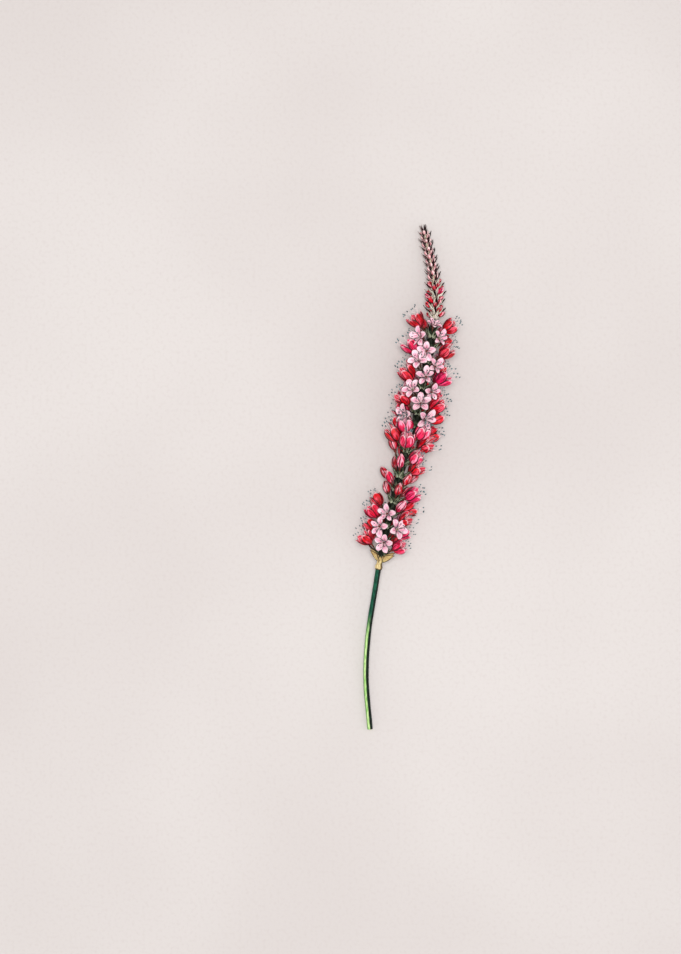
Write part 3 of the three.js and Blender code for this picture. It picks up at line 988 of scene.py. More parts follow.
def bract_skin(name, stripes, blade, pale):
    """A bract with a pale foot and pale stripes, which are painted highlights, on a blade with a dark middle
    and edge.
    """

    def shade(tree):
        along, edge, fibres = bract_pattern(tree)
        # Pale stripes of painted highlight over the blade.
        tone = mix(tree, fibres.step(stripes, stripes + 0.14), pale, blade)
        tone = mix(tree, edge.step(0.3, 0.05) * 0.85, tone, colour(20, 26, 16))
        tone = mix(tree, edge.step(0.6, 0.85), tone, colour(12, 16, 10))
        tone = mix(tree, along.step(0.4, 0.1) * 0.8, tone, pale)
        return tinted(tree, tone, 0.8, 1.15), bumped(tree, fibres, 0.5, 0.0001)

    return skin(name, 0.6, 0.15, shade)


def tip_bract_shade(tree):
    """A nearly black blade with a thin pale edge and a pale foot."""
    along, edge, fibres = bract_pattern(tree)
    tone = mix(tree, fibres.step(0.4, 0.6), colour(40, 14, 18), colour(10, 5, 6))
    tone = mix(tree, edge.step(0.86, 0.98) * 0.5, tone, colour(236, 196, 192))
    tone = mix(tree, along.step(0.3, 0.1) * 0.9, tone, colour(240, 222, 208))
    return tinted(tree, tone, 0.75, 1.2), bumped(tree, fibres, 0.5, 0.0001)


def stamen_shade(tree):
    """A pale thread up to the middle of the chain, and a blue-grey anther from there."""
    along = stored(tree, "along")
    fine = noise(tree, object_place(tree), 2600.0, 1.0)
    anther = mix(tree, fine.step(0.4, 0.6), colour(112, 140, 144), colour(40, 60, 68))
    tone = mix(tree, along.step(0.46, 0.54), colour(244, 220, 222), anther)
    return tinted(tree, tone, 0.8, 1.2), bumped(tree, fine, 0.5, 0.0001)


# %% All the skins of the green and dry parts
STALK_SKIN = skin("green_stalk", 0.5, 0.15, stalk_shade)
AXIS_SKIN = axis_skin("dark_axis", colour(26, 30, 22), colour(8, 10, 8), colour(104, 128, 96))
TIP_AXIS_SKIN = axis_skin("pale_axis", colour(212, 202, 178), colour(96, 84, 68), colour(248, 240, 226))
PEDICEL_SKIN = skin("pedicel", 0.6, 0.15, pedicel_shade)
SHEATH_SKIN = skin("dry_sheath", 0.75, 0.3, sheath_shade)
KNOB_SKIN = skin("dry_knob", 0.75, 0.3, knob_shade)
# The green bracts carry pale stripes of painted highlight; the near-black copy of the same skin on the axis
# scales is painted shade.
BRACT_SKIN = bract_skin("green_bract", 0.38, colour(52, 68, 44), colour(190, 200, 170))
SHADED_BRACT_SKIN = bract_skin("shaded_bract", 0.3, colour(16, 22, 14), colour(84, 100, 76))
BUD_BRACT_SKIN = bract_skin("bud_bract", 0.5, colour(166, 164, 122), colour(250, 244, 230))
TIP_BRACT_SKIN = skin("dark_bract", 0.6, 0.1, tip_bract_shade)
STAMEN_SKIN = skin("stamen", 0.6, 0.2, stamen_shade)
print("materials:", sorted(material.name for material in bpy.data.materials))

# %% [markdown]
# ## The stalk and the axis
#
# The bare stalk is the plainest piece, and it is seen along its whole length, so its surface has to carry
# it: shallow ribs in the mesh, fibres in the bump, and a colour that goes from lime at the cut end to deep
# teal under the spike. A cylinder bent along a curve would do as well, but the tube tree takes a radius at
# each point, so a swelling is one more sum.

# %% Lines along the stem, and what every finished piece needs
def along_route(start, end, step, radius_at):
    """A line that follows the stem from start to end, with points about step mm apart."""
    count = math.ceil((end - start) / step)
    distances = [start + (end - start) * i / count for i in range(count + 1)]
    return dict(places=[frame_at(d)[0] for d in distances], radii=[radius_at(d) for d in distances], tint=0.5)


def placed(piece, nodes):
    """Every piece rides on the one body, and stands for the solids that it replaces."""
    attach(piece, "root")
    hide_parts(*nodes)
    return piece


# %% The stalk
STALK_END = 53.6
STALK_RADIUS = 0.84
SWELLING_AT, SWELLING_WIDTH, SWELLING = 52, 2.2, 0.05
UNEVEN_DEPTH, UNEVEN_PACE = 0.015, 0.7
CUT_BEVEL, CUT_RADIUS = 0.12, 0.86


def stalk_radius(distance):
    """Even, but for a swelling under the sheath and a slight waviness."""
    swelling = SWELLING * math.exp(-(((distance - SWELLING_AT) / SWELLING_WIDTH) ** 2))
    return STALK_RADIUS + swelling + UNEVEN_DEPTH * math.sin(distance * UNEVEN_PACE)


stalk_line = along_route(CUT_BEVEL, STALK_END, step=0.8, radius_at=stalk_radius)
stalk_line["places"].insert(0, frame_at(0)[0])
stalk_line["radii"].insert(0, CUT_RADIUS)
stalk = tubes("fine_stalk", [stalk_line], STALK_SKIN, Sides=40, Ribs=8.0, **{"Rib Depth": 0.00002})
placed(stalk, ["stalk"])

# %% [markdown]
# The axis is the stalk's thin dark end, hidden among the flowers. It tapers towards the tip, swells at each
# whorl, where the flowers leave it, and is slim at its start, where the sheath wraps it.

# %% The axis of the spike
AXIS_START, AXIS_END = 53.4, 134.8
AXIS_RADIUS, AXIS_TAPER = 0.86, 0.24
JOINT_SWELLING, JOINT_SHIFT = 0.08, 2.4
NECK_SLIMMING, NECK_LENGTH = 0.24, 2.6


def axis_radius(distance):
    """A slow taper with a swelling at each whorl and a slim neck inside the sheath."""
    share = (distance - AXIS_START) / (AXIS_END - AXIS_START)
    joint = JOINT_SWELLING * math.cos((distance - FIRST_WHORL + JOINT_SHIFT) / WHORL_STEP * 2 * math.pi)
    neck = NECK_SLIMMING * math.exp(-(((distance - AXIS_START) / NECK_LENGTH) ** 2))
    return AXIS_RADIUS - AXIS_TAPER * share + joint - neck


axis_sizes = {"Sides": 20, "Ribs": 5.0, "Rib Depth": 0.00003, "Waviness": 0.0001}
axis_line = along_route(AXIS_START, AXIS_END, step=0.6, radius_at=axis_radius)
axis = tubes("flower_axis", [axis_line], AXIS_SKIN, **axis_sizes)
placed(axis, ["flower_spike"])

# %% [markdown]
# ## From the even rule to the real crowd
#
# The rule alone looks like the work of a machine. On the real stem the closed buds stand up and down by
# turns, the stars slide up the stem and nod, the cups below draw back, and the cups in the middle of the
# spike are large, plump and almost closed. We could move the flowers by hand until they look right, but
# then a change to the rule would undo it, so each habit is a small shift that depends on where the flower
# stands.

# %% The habits of the flowers
BUD_SHIFT, BUD_STAGGER = 0.9, 0.8
# Flowers and whorls are counted from the foot of the spike, so the low ones come first.
LOW_FLOWERS = 20
LOW_WHORLS, LOW_CUP = 4, 0.94
CROWDED = (7, 8, 9, 10)
STAR_SHIFT_LOW, STAR_SHIFT, STAR_NOD = 2.1, 1.1, 0.3
# How far a flower faces up: one is straight up and minus one is straight down.
UNDER_SIDE, UPPER_SIDE, FACING_UP = -0.6, 0.5, 0.6
DRAWN_BACK, SMALL_CUP, LARGE_CUP = 0.5, 0.8, 1.1
PLUMP_RISE, PLUMP_DROP = 0.6, 0.8
NOD_ASIDE, NOD_FORWARD = 2.4, 1.7
# In the last whorl the flower that faces up, third from the end, has just opened to a small star.
HALF_OPEN_BUD, HALF_OPEN_SIZE = -3, 0.8
GOLDEN_STEP = 0.618


def even_tint(number):
    """A tint from nought to one that is never close to its neighbour's."""
    return (number * GOLDEN_STEP) % 1


def take_habit(number, flower):
    """Shifts, leans and sizes a flower by its kind and place, and adds its turn and tint."""
    kind, away, crowded = flower["kind"], flower["away"], flower["whorl"] in CROWDED
    up_stem = (flower["direction"] - away * flower["direction"].dot(away)).normalized()
    if kind == "b":
        flower["foot"] = flower["foot"] + away * BUD_SHIFT + up_stem * (number % 3 - 1) * BUD_STAGGER
    if kind == "o" and away.z > 0:
        shift = STAR_SHIFT_LOW if number < LOW_FLOWERS else STAR_SHIFT
        flower["foot"] = flower["foot"] + up_stem * shift
        sideways, forward = math.sin(number * NOD_ASIDE), math.cos(number * NOD_FORWARD)
        nod = up_stem.cross(away) * sideways + up_stem * forward
        flower["direction"] = (flower["direction"] + nod * STAR_NOD).normalized()
    if kind == "c" and flower["whorl"] < LOW_WHORLS:
        flower["size"] *= LOW_CUP
    elif kind == "c" and UNDER_SIDE < away.z < 0 and not crowded:
        flower["foot"] = flower["foot"] - away * DRAWN_BACK
        flower["size"] *= SMALL_CUP
    elif crowded or (kind == "c" and 0 < away.z < UPPER_SIDE):
        flower["size"] *= LARGE_CUP
    if kind == "c" and crowded and away.z > FACING_UP:
        flower["kind"] = "plump"
        flower["direction"] = (flower["direction"] + up_stem * PLUMP_RISE).normalized()
        flower["foot"] = flower["foot"] - up_stem * PLUMP_DROP
    flower["turned"] = facing_turn(flower["direction"], flower["roll"])
    flower["tint"] = even_tint(number)


flowers[HALF_OPEN_BUD].update(kind="o", size=HALF_OPEN_SIZE)
for number, flower in enumerate(flowers):
    take_habit(number, flower)
stars, cups, plump, buds = ([f for f in flowers if f["kind"] == kind] for kind in ("o", "c", "plump", "b"))
print(f"{len(stars)} stars, {len(cups)} cups, {len(plump)} plump cups, {len(buds)} buds")

# %% [markdown]
# ## The petals
#
# The flowers come from six patterns of the lobed tree. A star opens flat, from a lean of 32 degrees at its
# foot to 92 at its tips; a cup swells out at 66 degrees and closes again; a bud is nearly shut. Stars and
# cups have a tighter and a wider pattern each, and the large cups in the middle of the spike have a plump
# one. That is enough to make the crowd lively, because every copy also has its own turn, size and tint.
# Modelling each flower would take far longer and show no difference at this scale.

# %% Patterns in millimetres and degrees
PLAIN_SIZES = ("Claw", "Widest", "Bluntness", "Unevenness")


def lobed(name, material, **sizes):
    """Runs the lobed tree with lengths in mm and angles in degrees."""
    given = {"Material": material}
    for key, value in sizes.items():
        label = key.replace("_", " ").title()
        if label.endswith("Lean"):
            given[label] = math.radians(value)
        else:
            given[label] = value if isinstance(value, int) or label in PLAIN_SIZES else value * MM
    return run_tree(name, LOBED_FLOWER, **given)


def lobed_piece(name, material, spots, sizes, node="flower_spike"):
    """A finished piece: a pattern of lobes that is copied onto its spots."""
    pattern = lobed(name + "_pattern", material, **sizes)
    return placed(set_out(name, pattern, spots, material), [node])


# %% The six patterns of flower
STAR = dict(length=3.2, foot=0.5, start_lean=32, end_lean=92, half_width=1.18, claw=0.22)
STAR |= dict(widest=1.5, bluntness=0.56, overlap=0.02, bowl=0.25, thickness=0.14, unevenness=0.16)
STAR |= dict(rows=11, columns=7)
CUPPED_STAR = STAR | dict(end_lean=74, seed=5, half_width=1.1, unevenness=0.2)
CUP = dict(length=4.9, foot=0.45, start_lean=66, end_lean=-26, half_width=1.5, claw=0.25)
CUP |= dict(widest=1.5, bluntness=0.6, overlap=0.2, thickness=0.15, unevenness=0.07)
CUP |= dict(rows=13, columns=7)
WIDE_CUP = CUP | dict(start_lean=60, end_lean=-8, seed=9, half_width=1.55, unevenness=0.1)
PLUMP_CUP = CUP | dict(start_lean=74, end_lean=-44, seed=15, length=5.2, half_width=1.7)
CLOSED = dict(length=5.3, foot=0.35, start_lean=42, end_lean=-46, half_width=0.95, claw=0.4)
CLOSED |= dict(widest=0.95, bluntness=0.85, overlap=0.1, thickness=0.14, unevenness=0.03)
CLOSED |= dict(rows=12, columns=7)

lobed_piece("flat_stars", PINK, stars[0::2], STAR)
lobed_piece("cupped_stars", PINK, stars[1::2], CUPPED_STAR)
lobed_piece("tight_cups", CRIMSON, cups[0::2], CUP)
lobed_piece("wide_cups", CRIMSON, cups[1::2], WIDE_CUP)
lobed_piece("plump_cups", ROSY, plump, PLUMP_CUP)
lobed_piece("closed_buds", BUD, buds, CLOSED)

# %% [markdown]
# ## The pedicels
#
# Each flower hangs on a short stalk of its own, the pedicel. It leaves the axis at a slant, bends outward,
# swells under the petals, and goes on into the flower as the small knob in its middle. A pattern can't be
# copied here, because every flower stands at its own distance, so each pedicel is a bend between two places
# and the tube tree covers them all at once.

# %% A bent line for each flower
PEDICEL_RADII = [0.27, 0.25, 0.23, 0.21, 0.21, 0.22, 0.24, 0.28, 0.36]
FOOT_RADIUS = 0.5
KNOB_PLACES, KNOB_RADII = (0.35, 0.7), [0.42, 0.16]
OUTWARD_PULL, FORWARD_PULL = 0.55, 0.3
LEAVING_SHARE, ARRIVING_SHARE = 0.5, 0.35


def pedicel(flower):
    """A line from the axis to a flower: it swells at the flower's foot and ends in its middle."""
    root, foot, direction = flower["root"], flower["foot"], flower["direction"]
    reach = (foot - root).length
    pull = flower["away"] * OUTWARD_PULL + direction * FORWARD_PULL
    leaving = root + pull * reach * LEAVING_SHARE
    arriving = foot - direction * reach * ARRIVING_SHARE
    places = bent_line(root, leaving, arriving, foot, len(PEDICEL_RADII))
    places += [foot + direction * s for s in KNOB_PLACES]
    radii = [*PEDICEL_RADII, FOOT_RADIUS * flower["size"], *KNOB_RADII]
    return dict(places=places, radii=radii, tint=flower["tint"])


pedicels = tubes("pedicels", [pedicel(f) for f in flowers], PEDICEL_SKIN, Sides=8)
placed(pedicels, ["flower_spike"])

# %% [markdown]
# ## The stamens
#
# Small blue-grey dots float round the whole spike. They are the anthers, which the stamens carry out of the
# cups on threads that are too fine to see from far away. A hair system would be quick to comb, but an
# export drops hair, so each stamen is a real tube: a chain of ten points whose radius shrinks to a thread
# and swells again at the anther.

# %% Sets of stamens
STAMENS = 8
STAMEN_RADII = [0.06, 0.05, 0.04, 0.035, 0.04, 0.1, 0.17, 0.19, 0.12, 0.03]
ANTHER_PLACES = (0.06, 0.14, 0.36, 0.54, 0.6)
FILAMENT_STEPS = 4
FOOT_OUT, FOOT_UP = 0.25, 0.3
LEAVES_OUT, LEAVES_UP, ARRIVES_UP = 0.5, 0.4, 0.3
STAMEN_SPREAD = dict(turn=0.25, length=0.12, width=0.3)


def stamen_lines(reach, spread, draws):
    """Eight stamens from the middle of a flower: thin filaments that end in a swollen anther."""
    lines = []
    for number in range(STAMENS):
        turn = draws.around(number * 2 * math.pi / STAMENS, STAMEN_SPREAD["turn"])
        out = Vector((math.cos(turn), math.sin(turn), 0))
        length = reach * draws.around(1, STAMEN_SPREAD["length"])
        width = spread * draws.around(1, STAMEN_SPREAD["width"])
        start, end = out * FOOT_OUT + UP * FOOT_UP, UP * length + out * width
        leaving, arriving = out * LEAVES_OUT + UP * length * LEAVES_UP, end - UP * length * ARRIVES_UP
        places = bent_line(start, leaving, arriving, end, FILAMENT_STEPS)
        tip = (places[-1] - places[-2]).normalized()
        places += [end + tip * s for s in ANTHER_PLACES]
        lines.append(dict(places=places, radii=STAMEN_RADII, tint=0.5))
    return lines


def stamen_set(name, spots, reach, spread, seed):
    """One pattern of eight stamens, copied into all the flowers of a kind."""
    lines = stamen_lines(reach, spread, Dice(seed))
    pattern = tubes(name + "_pattern", lines, STAMEN_SKIN, Sides=5, Pressed=0.0)
    return placed(set_out(name, pattern, spots, STAMEN_SKIN), ["flower_spike"])


stamen_set("star_stamens", stars, reach=2.2, spread=1.3, seed=11)
stamen_set("tight_stamens", cups[0::2], reach=5.7, spread=1.5, seed=12)
stamen_set("wide_stamens", cups[1::2], reach=5.5, spread=2.2, seed=13)
stamen_set("plump_stamens", plump, reach=5.0, spread=1.1, seed=14)

# %% [markdown]
# ## The sheath at the foot of the spike
#
# A dry sheath wraps the top of the stalk: a round knob, a narrow neck, a torn rim, and long pointed bracts,
# of which the two at the sides spread like arms. The bract is the lobed tree with one lobe that hugs the
# axis, its back turned outward, or partly to the sky so that its flat side shows. The torn rim is the same
# tree as a ring of five short lobes. The knob and neck are a tube whose radius follows a bell curve;
# turning it on a lathe with the Screw modifier would give the same form, but it would not follow the bend
# of the stem.

# %% Spots for bracts
def hugging_turn(direction, away):
    """The rotation that points Z along a direction and turns X outward from the axis."""
    back = (away - direction * away.dot(direction)).normalized()
    return Matrix((back, direction.cross(back), direction)).transposed().to_euler()


def bract_spot(distance, turn, foot, lift, size, tint, twist=0.0):
    """twist turns the back of a bract from outward towards the sky, so that its flat side shows."""
    stem_frame = frame_at(distance)
    away = outward(stem_frame, turn)
    direction = lifted(stem_frame, away, lift)
    turned = hugging_turn(direction, away * (1 - twist) + UP * twist)
    return dict(foot=stem_frame[0] + away * foot, turned=turned, size=size, tint=tint)


# %% The dry bracts and the torn rim
SHEATH_START, SHEATH_RIM = 52.2, 55.1
BASE_BRACT_LENGTH = 4.0
# Each dry bract has a turn round the stem in degrees, a length in mm and a lift in degrees.
BASE_BRACTS = [(-108, 4.4, 48), (-84, 4.0, 44), (-36, 2.2, 68), (36, 2.0, 66)]
BASE_BRACTS += [(84, 4.2, 36), (108, 4.6, 42), (180, 3.2, 62)]
BASE_BRACT_FOOT, BASE_BRACT_GROWTH, BASE_BRACT_TWIST = 0.5, 1.1, 0.6
TORN_RIM_RISE = 1.9
DRY_BRACT = dict(lobes=1, length=BASE_BRACT_LENGTH, foot=0.05, curl=1.4, start_lean=-12, end_lean=26)
DRY_BRACT |= dict(half_width=0.72, claw=0.6, widest=0.72, bluntness=0.95, thickness=0.12, rows=11, columns=7)
TORN = dict(lobes=5, length=2.6, foot=0.8, start_lean=-4, end_lean=26, half_width=0.72, claw=0.8)
TORN |= dict(widest=1.1, bluntness=0.7, overlap=0.08, thickness=0.1, rows=12, columns=7, unevenness=0.05)

base_spots = []
for number, (turn, length, lift) in enumerate(BASE_BRACTS):
    size = BASE_BRACT_GROWTH * length / BASE_BRACT_LENGTH
    spot = bract_spot(SHEATH_RIM, turn, BASE_BRACT_FOOT, lift, size, even_tint(number), BASE_BRACT_TWIST)
    base_spots.append(spot)
lobed_piece("base_bracts", SHEATH_SKIN, base_spots, DRY_BRACT, "base_sheath")
place, along, _, front = frame_at(SHEATH_START + TORN_RIM_RISE)
rim_spot = dict(foot=place, turned=hugging_turn(along, front), size=1.0, tint=0.3)
lobed_piece("torn_rim", SHEATH_SKIN, [rim_spot], TORN, "base_sheath")

# %% The knob and the neck
NECK_RADIUS, NECK_RISE = 0.82, 0.3
KNOB_SWELLING, KNOB_MIDDLE, KNOB_WIDTH = 0.4, 0.85, 0.85
SHEATH_FOOT_RADII = [0.86, 1.0]


def sheath_radius(distance):
    """A round knob at its foot and an even neck above."""
    knob = math.exp(-(((distance - SHEATH_START - KNOB_MIDDLE) / KNOB_WIDTH) ** 2))
    return NECK_RADIUS + KNOB_SWELLING * knob


sheath_line = along_route(SHEATH_START, SHEATH_RIM + NECK_RISE, step=0.15, radius_at=sheath_radius)
sheath_line["radii"][:2] = SHEATH_FOOT_RADII
sheath_sizes = {"Sides": 36, "Ribs": 9.0, "Rib Depth": 0.00004, "Waviness": 0.00012, "Wave Scale": 500.0}
sheath = tubes("knobbed_sheath", [sheath_line], KNOB_SKIN, **sheath_sizes)
placed(sheath, ["base_sheath"])

# %% [markdown]
# ## The bracts of the spike
#
# Under every flower sits a small green bract, and the axis between them is covered by darker scales. They
# hide the bare tube, and their near-black skin is painted shade that gives the gaps between the flowers their
# deep shadow, with a few pale flecks.
# A bumpy texture on the axis would look flat from the side, so they are real blades, about ninety of each.

# %% Green bracts and dark scales
BRACT_LENGTH = 3.2
BRACT_DROP = 2.9
# How far aside of its flower a bract stands, its lift, both in degrees, and its size.
AMONG_BUDS, AMONG_CUPS = (24, 48, 1.25), (12, 52, 1.0)
BRACT_FOOT, BRACT_TWIST = 0.55, 0.45
SCALE_RISE, SCALE_ASIDE = 1.2, 40
SCALE_STANCE = dict(foot=0.6, lift=72, size=1.1)
NECK_BRACT_RISE = 0.7
NECK_BRACT = dict(turn=-12, foot=0.7, lift=66, size=1.1, tint=0.3, twist=0.3)
GREEN_BRACT = dict(lobes=1, length=BRACT_LENGTH, foot=0.05, curl=0.6, start_lean=10, end_lean=-14)
GREEN_BRACT |= dict(half_width=0.66, claw=0.5, widest=0.75, bluntness=0.95, bowl=0.1, thickness=0.1)
AXIS_SCALE = GREEN_BRACT | dict(curl=0.9, half_width=0.95)

bract_spots, scale_spots = [], []
for whorl, (kinds, whorl_turn) in enumerate(WHORLS):
    aside, lift, size = AMONG_BUDS if "b" in kinds else AMONG_CUPS
    distance = FIRST_WHORL + whorl * WHORL_STEP - BRACT_DROP
    for slot in range(FLOWERS_IN_WHORL):
        turn = whorl_turn + (slot - MIDDLE_FLOWER) * 360 / FLOWERS_IN_WHORL
        tint = even_tint(len(bract_spots))
        spot = bract_spot(distance, turn + aside, BRACT_FOOT, lift, size, tint, BRACT_TWIST)
        bract_spots.append(spot)
        spot = bract_spot(distance + SCALE_RISE, turn + SCALE_ASIDE, tint=tint, **SCALE_STANCE)
        scale_spots.append(spot)
# One more dark blade lies over the neck of the sheath.
scale_spots.append(bract_spot(SHEATH_RIM + NECK_BRACT_RISE, **NECK_BRACT))
lobed_piece("small_bracts", BRACT_SKIN, bract_spots, GREEN_BRACT)
lobed_piece("axis_scales", SHADED_BRACT_SKIN, scale_spots, AXIS_SCALE)

# %% [markdown]
# ## The bud tip
#
# The higher on the spike, the younger it is: first small crimson buds between cream bracts, then pale buds
# that hide behind narrow dark bracts, which look like brush strokes. All stand on levels, each turned half
# a step against the last, and shrink towards the end. A Curve with an Array modifier could repeat one
# level, but the tip changes on the way up, so a loop writes the spots and the same tree as before sets them
# out.

# %% The axis of the tip
TIP_START = 134.9
TIP_BARE_END = 0.8
TIP_OVERLAP = 0.4
TIP_RADIUS, TIP_TAPER = 0.62, 0.011


def tip_radius(distance):
    """The axis goes on to taper towards its end."""
    return TIP_RADIUS - TIP_TAPER * (distance - TIP_START)


tip_ends = TIP_START - TIP_OVERLAP, ROUTE_LENGTH - TIP_BARE_END
tip_line = along_route(*tip_ends, step=0.8, radius_at=tip_radius)
tip_axis = tubes("tip_axis", [tip_line], TIP_AXIS_SKIN, Sides=12, Waviness=0.0001)
placed(tip_axis, ["bud_tip"])

# %% What stands on a level of the tip
BUD_STAND_OFF, STAND_OFF_STEP, STAND_OFF_SPREAD = 1.45, 0.07, 0.8
BUD_GROWTH, BUD_SPREAD = 1.25, 0.4
BUD_LESS_LIFT = 10
# A stance says how much lower than its level a part stands, how far aside and off the axis, how much less
# it is lifted, how much it has grown, and how far its back is turned from outward to the sky.
PALE_STANCE = dict(drop=0, aside=0, foot=0.5, less_lift=4, growth=1.15, twist=0.0)
CREAM_BLADE = dict(drop=0.9, aside=30, foot=0.6, less_lift=8, growth=1.0, twist=0.4)
LOW_DARK_BLADE = dict(drop=0.6, aside=45, foot=0.5, less_lift=16, growth=1.3, twist=0.3)
DARK_BLADES = [
    dict(drop=0.4, aside=30, foot=0.6, less_lift=6, growth=1.1, twist=0.3),
    dict(drop=1.0, aside=90, foot=0.6, less_lift=6, growth=1.1, twist=0.3),
]
tip_buds, pale_buds, tip_bracts, bud_bracts = [], [], [], []


def stood(stance, distance, turn, lift, size, tint):
    """The spot of a bud or a blade that takes its stance on a level of the tip."""
    distance, turn, lift = distance - stance["drop"], turn + stance["aside"], lift - stance["less_lift"]
    return bract_spot(distance, turn, stance["foot"], lift, size * stance["growth"], tint, stance["twist"])


def crimson_member(level, number, distance, turn, lift, size, tint):
    """A crimson bud in three places of four, a cream blade, and a dark one on every other level."""
    uneven = tint - 0.5
    if (level + number) % 4:
        stand_off = BUD_STAND_OFF - STAND_OFF_STEP * level + STAND_OFF_SPREAD * uneven
        bud = size * (BUD_GROWTH + BUD_SPREAD * uneven)
        tip_buds.append(bract_spot(distance + uneven, turn, stand_off, lift - BUD_LESS_LIFT, bud, tint))
    bud_bracts.append(stood(CREAM_BLADE, distance, turn, lift, size, tint))
    if level % 2:
        tip_bracts.append(stood(LOW_DARK_BLADE, distance, turn, lift, size, tint))


def dark_member(distance, turn, lift, size, tint):
    """A pale bud and the two dark blades beside it."""
    pale_buds.append(stood(PALE_STANCE, distance, turn, lift, size, tint))
    for blade in DARK_BLADES:
        tip_bracts.append(stood(blade, distance, turn, lift, size, tint))


# %% The levels of the tip
TIP_FIRST_LEVEL, TIP_LEVEL_STEP = 0.7, 1.35
CRIMSON_LEVELS = 9
TIP_TURN_SPREAD = 9
TIP_BUDS = dict(members=4, length=4.2, spread=0.3, shortening=1.4, lift=52, lift_spread=6)
TIP_BRACTS = dict(members=3, length=3.2, spread=0.2, shortening=1.0, lift=52, lift_spread=5)
END_BRACTS, END_TURN, END_BACK = 6, 20, 1.4
END_LIFT, END_LIFT_STEP = 66, 5
END_FOOT, END_SIZE = 0.15, 0.95

levels = math.floor((ROUTE_LENGTH - TIP_START - TIP_FIRST_LEVEL - TIP_BARE_END) / TIP_LEVEL_STEP)
for level in range(levels + 1):
    shape = TIP_BUDS if level < CRIMSON_LEVELS else TIP_BRACTS
    distance = TIP_START + TIP_FIRST_LEVEL + level * TIP_LEVEL_STEP
    for number in range(shape["members"]):
        turn = 360 * (number + level % 2 / 2) / shape["members"] + dice.around(0, TIP_TURN_SPREAD)
        lift = dice.around(shape["lift"], shape["lift_spread"])
        reach = dice.around(shape["length"], shape["spread"]) - shape["shortening"] * level / levels
        size, tint = reach / shape["length"], dice.roll()
        if shape is TIP_BUDS:
            crimson_member(level, number, distance, turn, lift, size, tint)
        else:
            dark_member(distance, turn, lift, size, tint)
for number in range(END_BRACTS):
    turn, lift = 360 / END_BRACTS * number + END_TURN, END_LIFT + END_LIFT_STEP * (number % 3)
    spot = bract_spot(ROUTE_LENGTH - END_BACK, turn, END_FOOT, lift, END_SIZE, number / END_BRACTS)
    tip_bracts.append(spot)
print(f"{levels + 1} levels with {len(tip_buds)} crimson buds, {len(pale_buds)} pale buds")

# %% The buds and bracts of the tip
SMALL_BUD = dict(lobes=3, length=2.2, foot=0.15, start_lean=50, end_lean=-50, half_width=0.78, claw=0.4)
SMALL_BUD |= dict(widest=1.0, bluntness=0.8, overlap=0.08, thickness=0.12, rows=7, unevenness=0.04)
NARROW = dict(lobes=1, length=3.1, foot=0.05, curl=0.5, start_lean=20, end_lean=-26, half_width=0.37)
NARROW |= dict(claw=0.5, widest=0.72, bluntness=0.95, bowl=0.1, thickness=0.1, rows=8)
BROADER = NARROW | dict(length=3.4, curl=0.7, half_width=0.5)

lobed_piece("young_buds", BUD, tip_buds, SMALL_BUD, "bud_tip")
lobed_piece("top_buds", PALE_BUD, pale_buds, SMALL_BUD, "bud_tip")
lobed_piece("dark_bracts", TIP_BRACT_SKIN, tip_bracts, NARROW, "bud_tip")
lobed_piece("bracts_under_buds", BUD_BRACT_SKIN, bud_bracts, BROADER, "bud_tip")

# %% [markdown]
# ## The floor and the light
#
# The stem lies on a plain pale floor with a faint warm tone. The photograph shows hardly any shadow, so a
# soft lamp hangs almost straight above, where the stem hides most of its own shadow from the camera.
# A weaker lamp from the right and the even glow of the surroundings keep the sides from going dark. One
# hard lamp from the side would model the forms more strongly, but it would draw a long shadow beside the
# stem.

# %% The floor
def floor_shade(tree):
    """Pale and warm, with broad faint clouds and a fine grain."""
    fine = noise(tree, object_place(tree), 900.0, 3.0)
    broad = noise(tree, object_place(tree), 9.0, 2.0)
    tone = mix(tree, broad.step(0.3, 0.7), colour(196, 190, 188), colour(202, 197, 195))
    tone = mix(tree, fine.step(0.45, 0.75) * 0.25, tone, colour(184, 175, 172))
    return tone, bumped(tree, fine, 0.15, 0.0001)


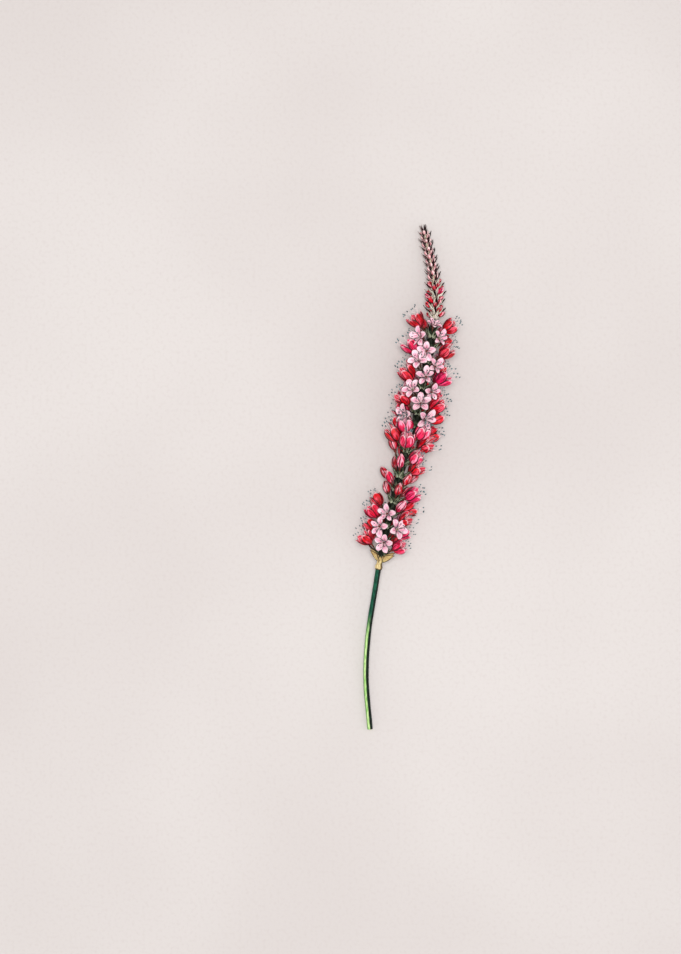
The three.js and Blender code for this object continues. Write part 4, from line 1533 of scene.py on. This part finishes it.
FLOOR_HALF = 1.5
corners = [(x * FLOOR_HALF, y * FLOOR_HALF, 0) for x, y in ((-1, -1), (1, -1), (1, 1), (-1, 1))]
floor_mesh = bpy.data.meshes.new("floor")
floor_mesh.from_pydata(corners, [], [(0, 1, 2, 3)])
floor_mesh.materials.append(skin("pale_floor", 0.9, 0.5, floor_shade))
floor = bpy.data.objects.new("floor", floor_mesh)
bpy.context.scene.collection.objects.link(floor)
print("the floor is", 2 * FLOOR_HALF, "m wide")


# %% The lamps and the room
def lamp(name, place, size, power, tint):
    """A square soft lamp that looks at the origin."""
    light = bpy.data.lights.new(name, "AREA")
    light.size, light.energy, light.color = size, power, tint
    holder = bpy.data.objects.new(name, light)
    holder.location = place
    holder.rotation_euler = Vector(place).to_track_quat("Z", "Y").to_euler()
    bpy.context.scene.collection.objects.link(holder)
    print(f"{name}: {power} W, {Vector(place).length:.2f} m away")


ROOM_GLOW, ROOM_TINT = 0.58, (1.0, 0.985, 0.97, 1.0)
lamp("window", place=(-0.02, 0.04, 1.2), size=0.4, power=11.4, tint=(1.0, 0.98, 0.97))
lamp("fill", place=(0.7, -0.4, 0.9), size=1.2, power=2.4, tint=(0.97, 0.98, 1.0))
world = bpy.data.worlds.new("room")
world.use_nodes = True
world.node_tree.nodes["Background"].inputs["Color"].default_value = ROOM_TINT
world.node_tree.nodes["Background"].inputs["Strength"].default_value = ROOM_GLOW
bpy.context.scene.world = world
bpy.context.scene.view_settings.view_transform = "Standard"

# %% [markdown]
# ## The camera
#
# The photograph is a flat view, so the camera looks straight down, through a long lens from far enough away
# that near and far flowers keep almost the same scale. Its height follows from the frame: the picture is
# 681 by 954 pixels, and one pixel is 0.32 mm on the stem, which makes the frame 305.28 mm high. The stem
# keeps its place in the frame, to the right of the middle.

# %% The camera
# The middle of the picture in the part's frame, at the height of the spike's axis.
VIEW_CENTRE = Vector((-21.48, 0.24, 7.4)) * MM
PIXEL, PICTURE_HEIGHT = 0.32, 954
FRAME_HEIGHT = PIXEL * PICTURE_HEIGHT * MM
LENS, SENSOR, NEAREST = 100.0, 36.0, 0.01
lens = bpy.data.cameras.new("camera")
lens.lens, lens.sensor_width, lens.clip_start = LENS, SENSOR, NEAREST
camera = bpy.data.objects.new("camera", lens)
camera.location = VIEW_CENTRE + UP * FRAME_HEIGHT * LENS / SENSOR
bpy.context.scene.collection.objects.link(camera)
bpy.context.scene.camera = camera
print(f"the camera hangs {camera.location.z:.3f} m above the floor")
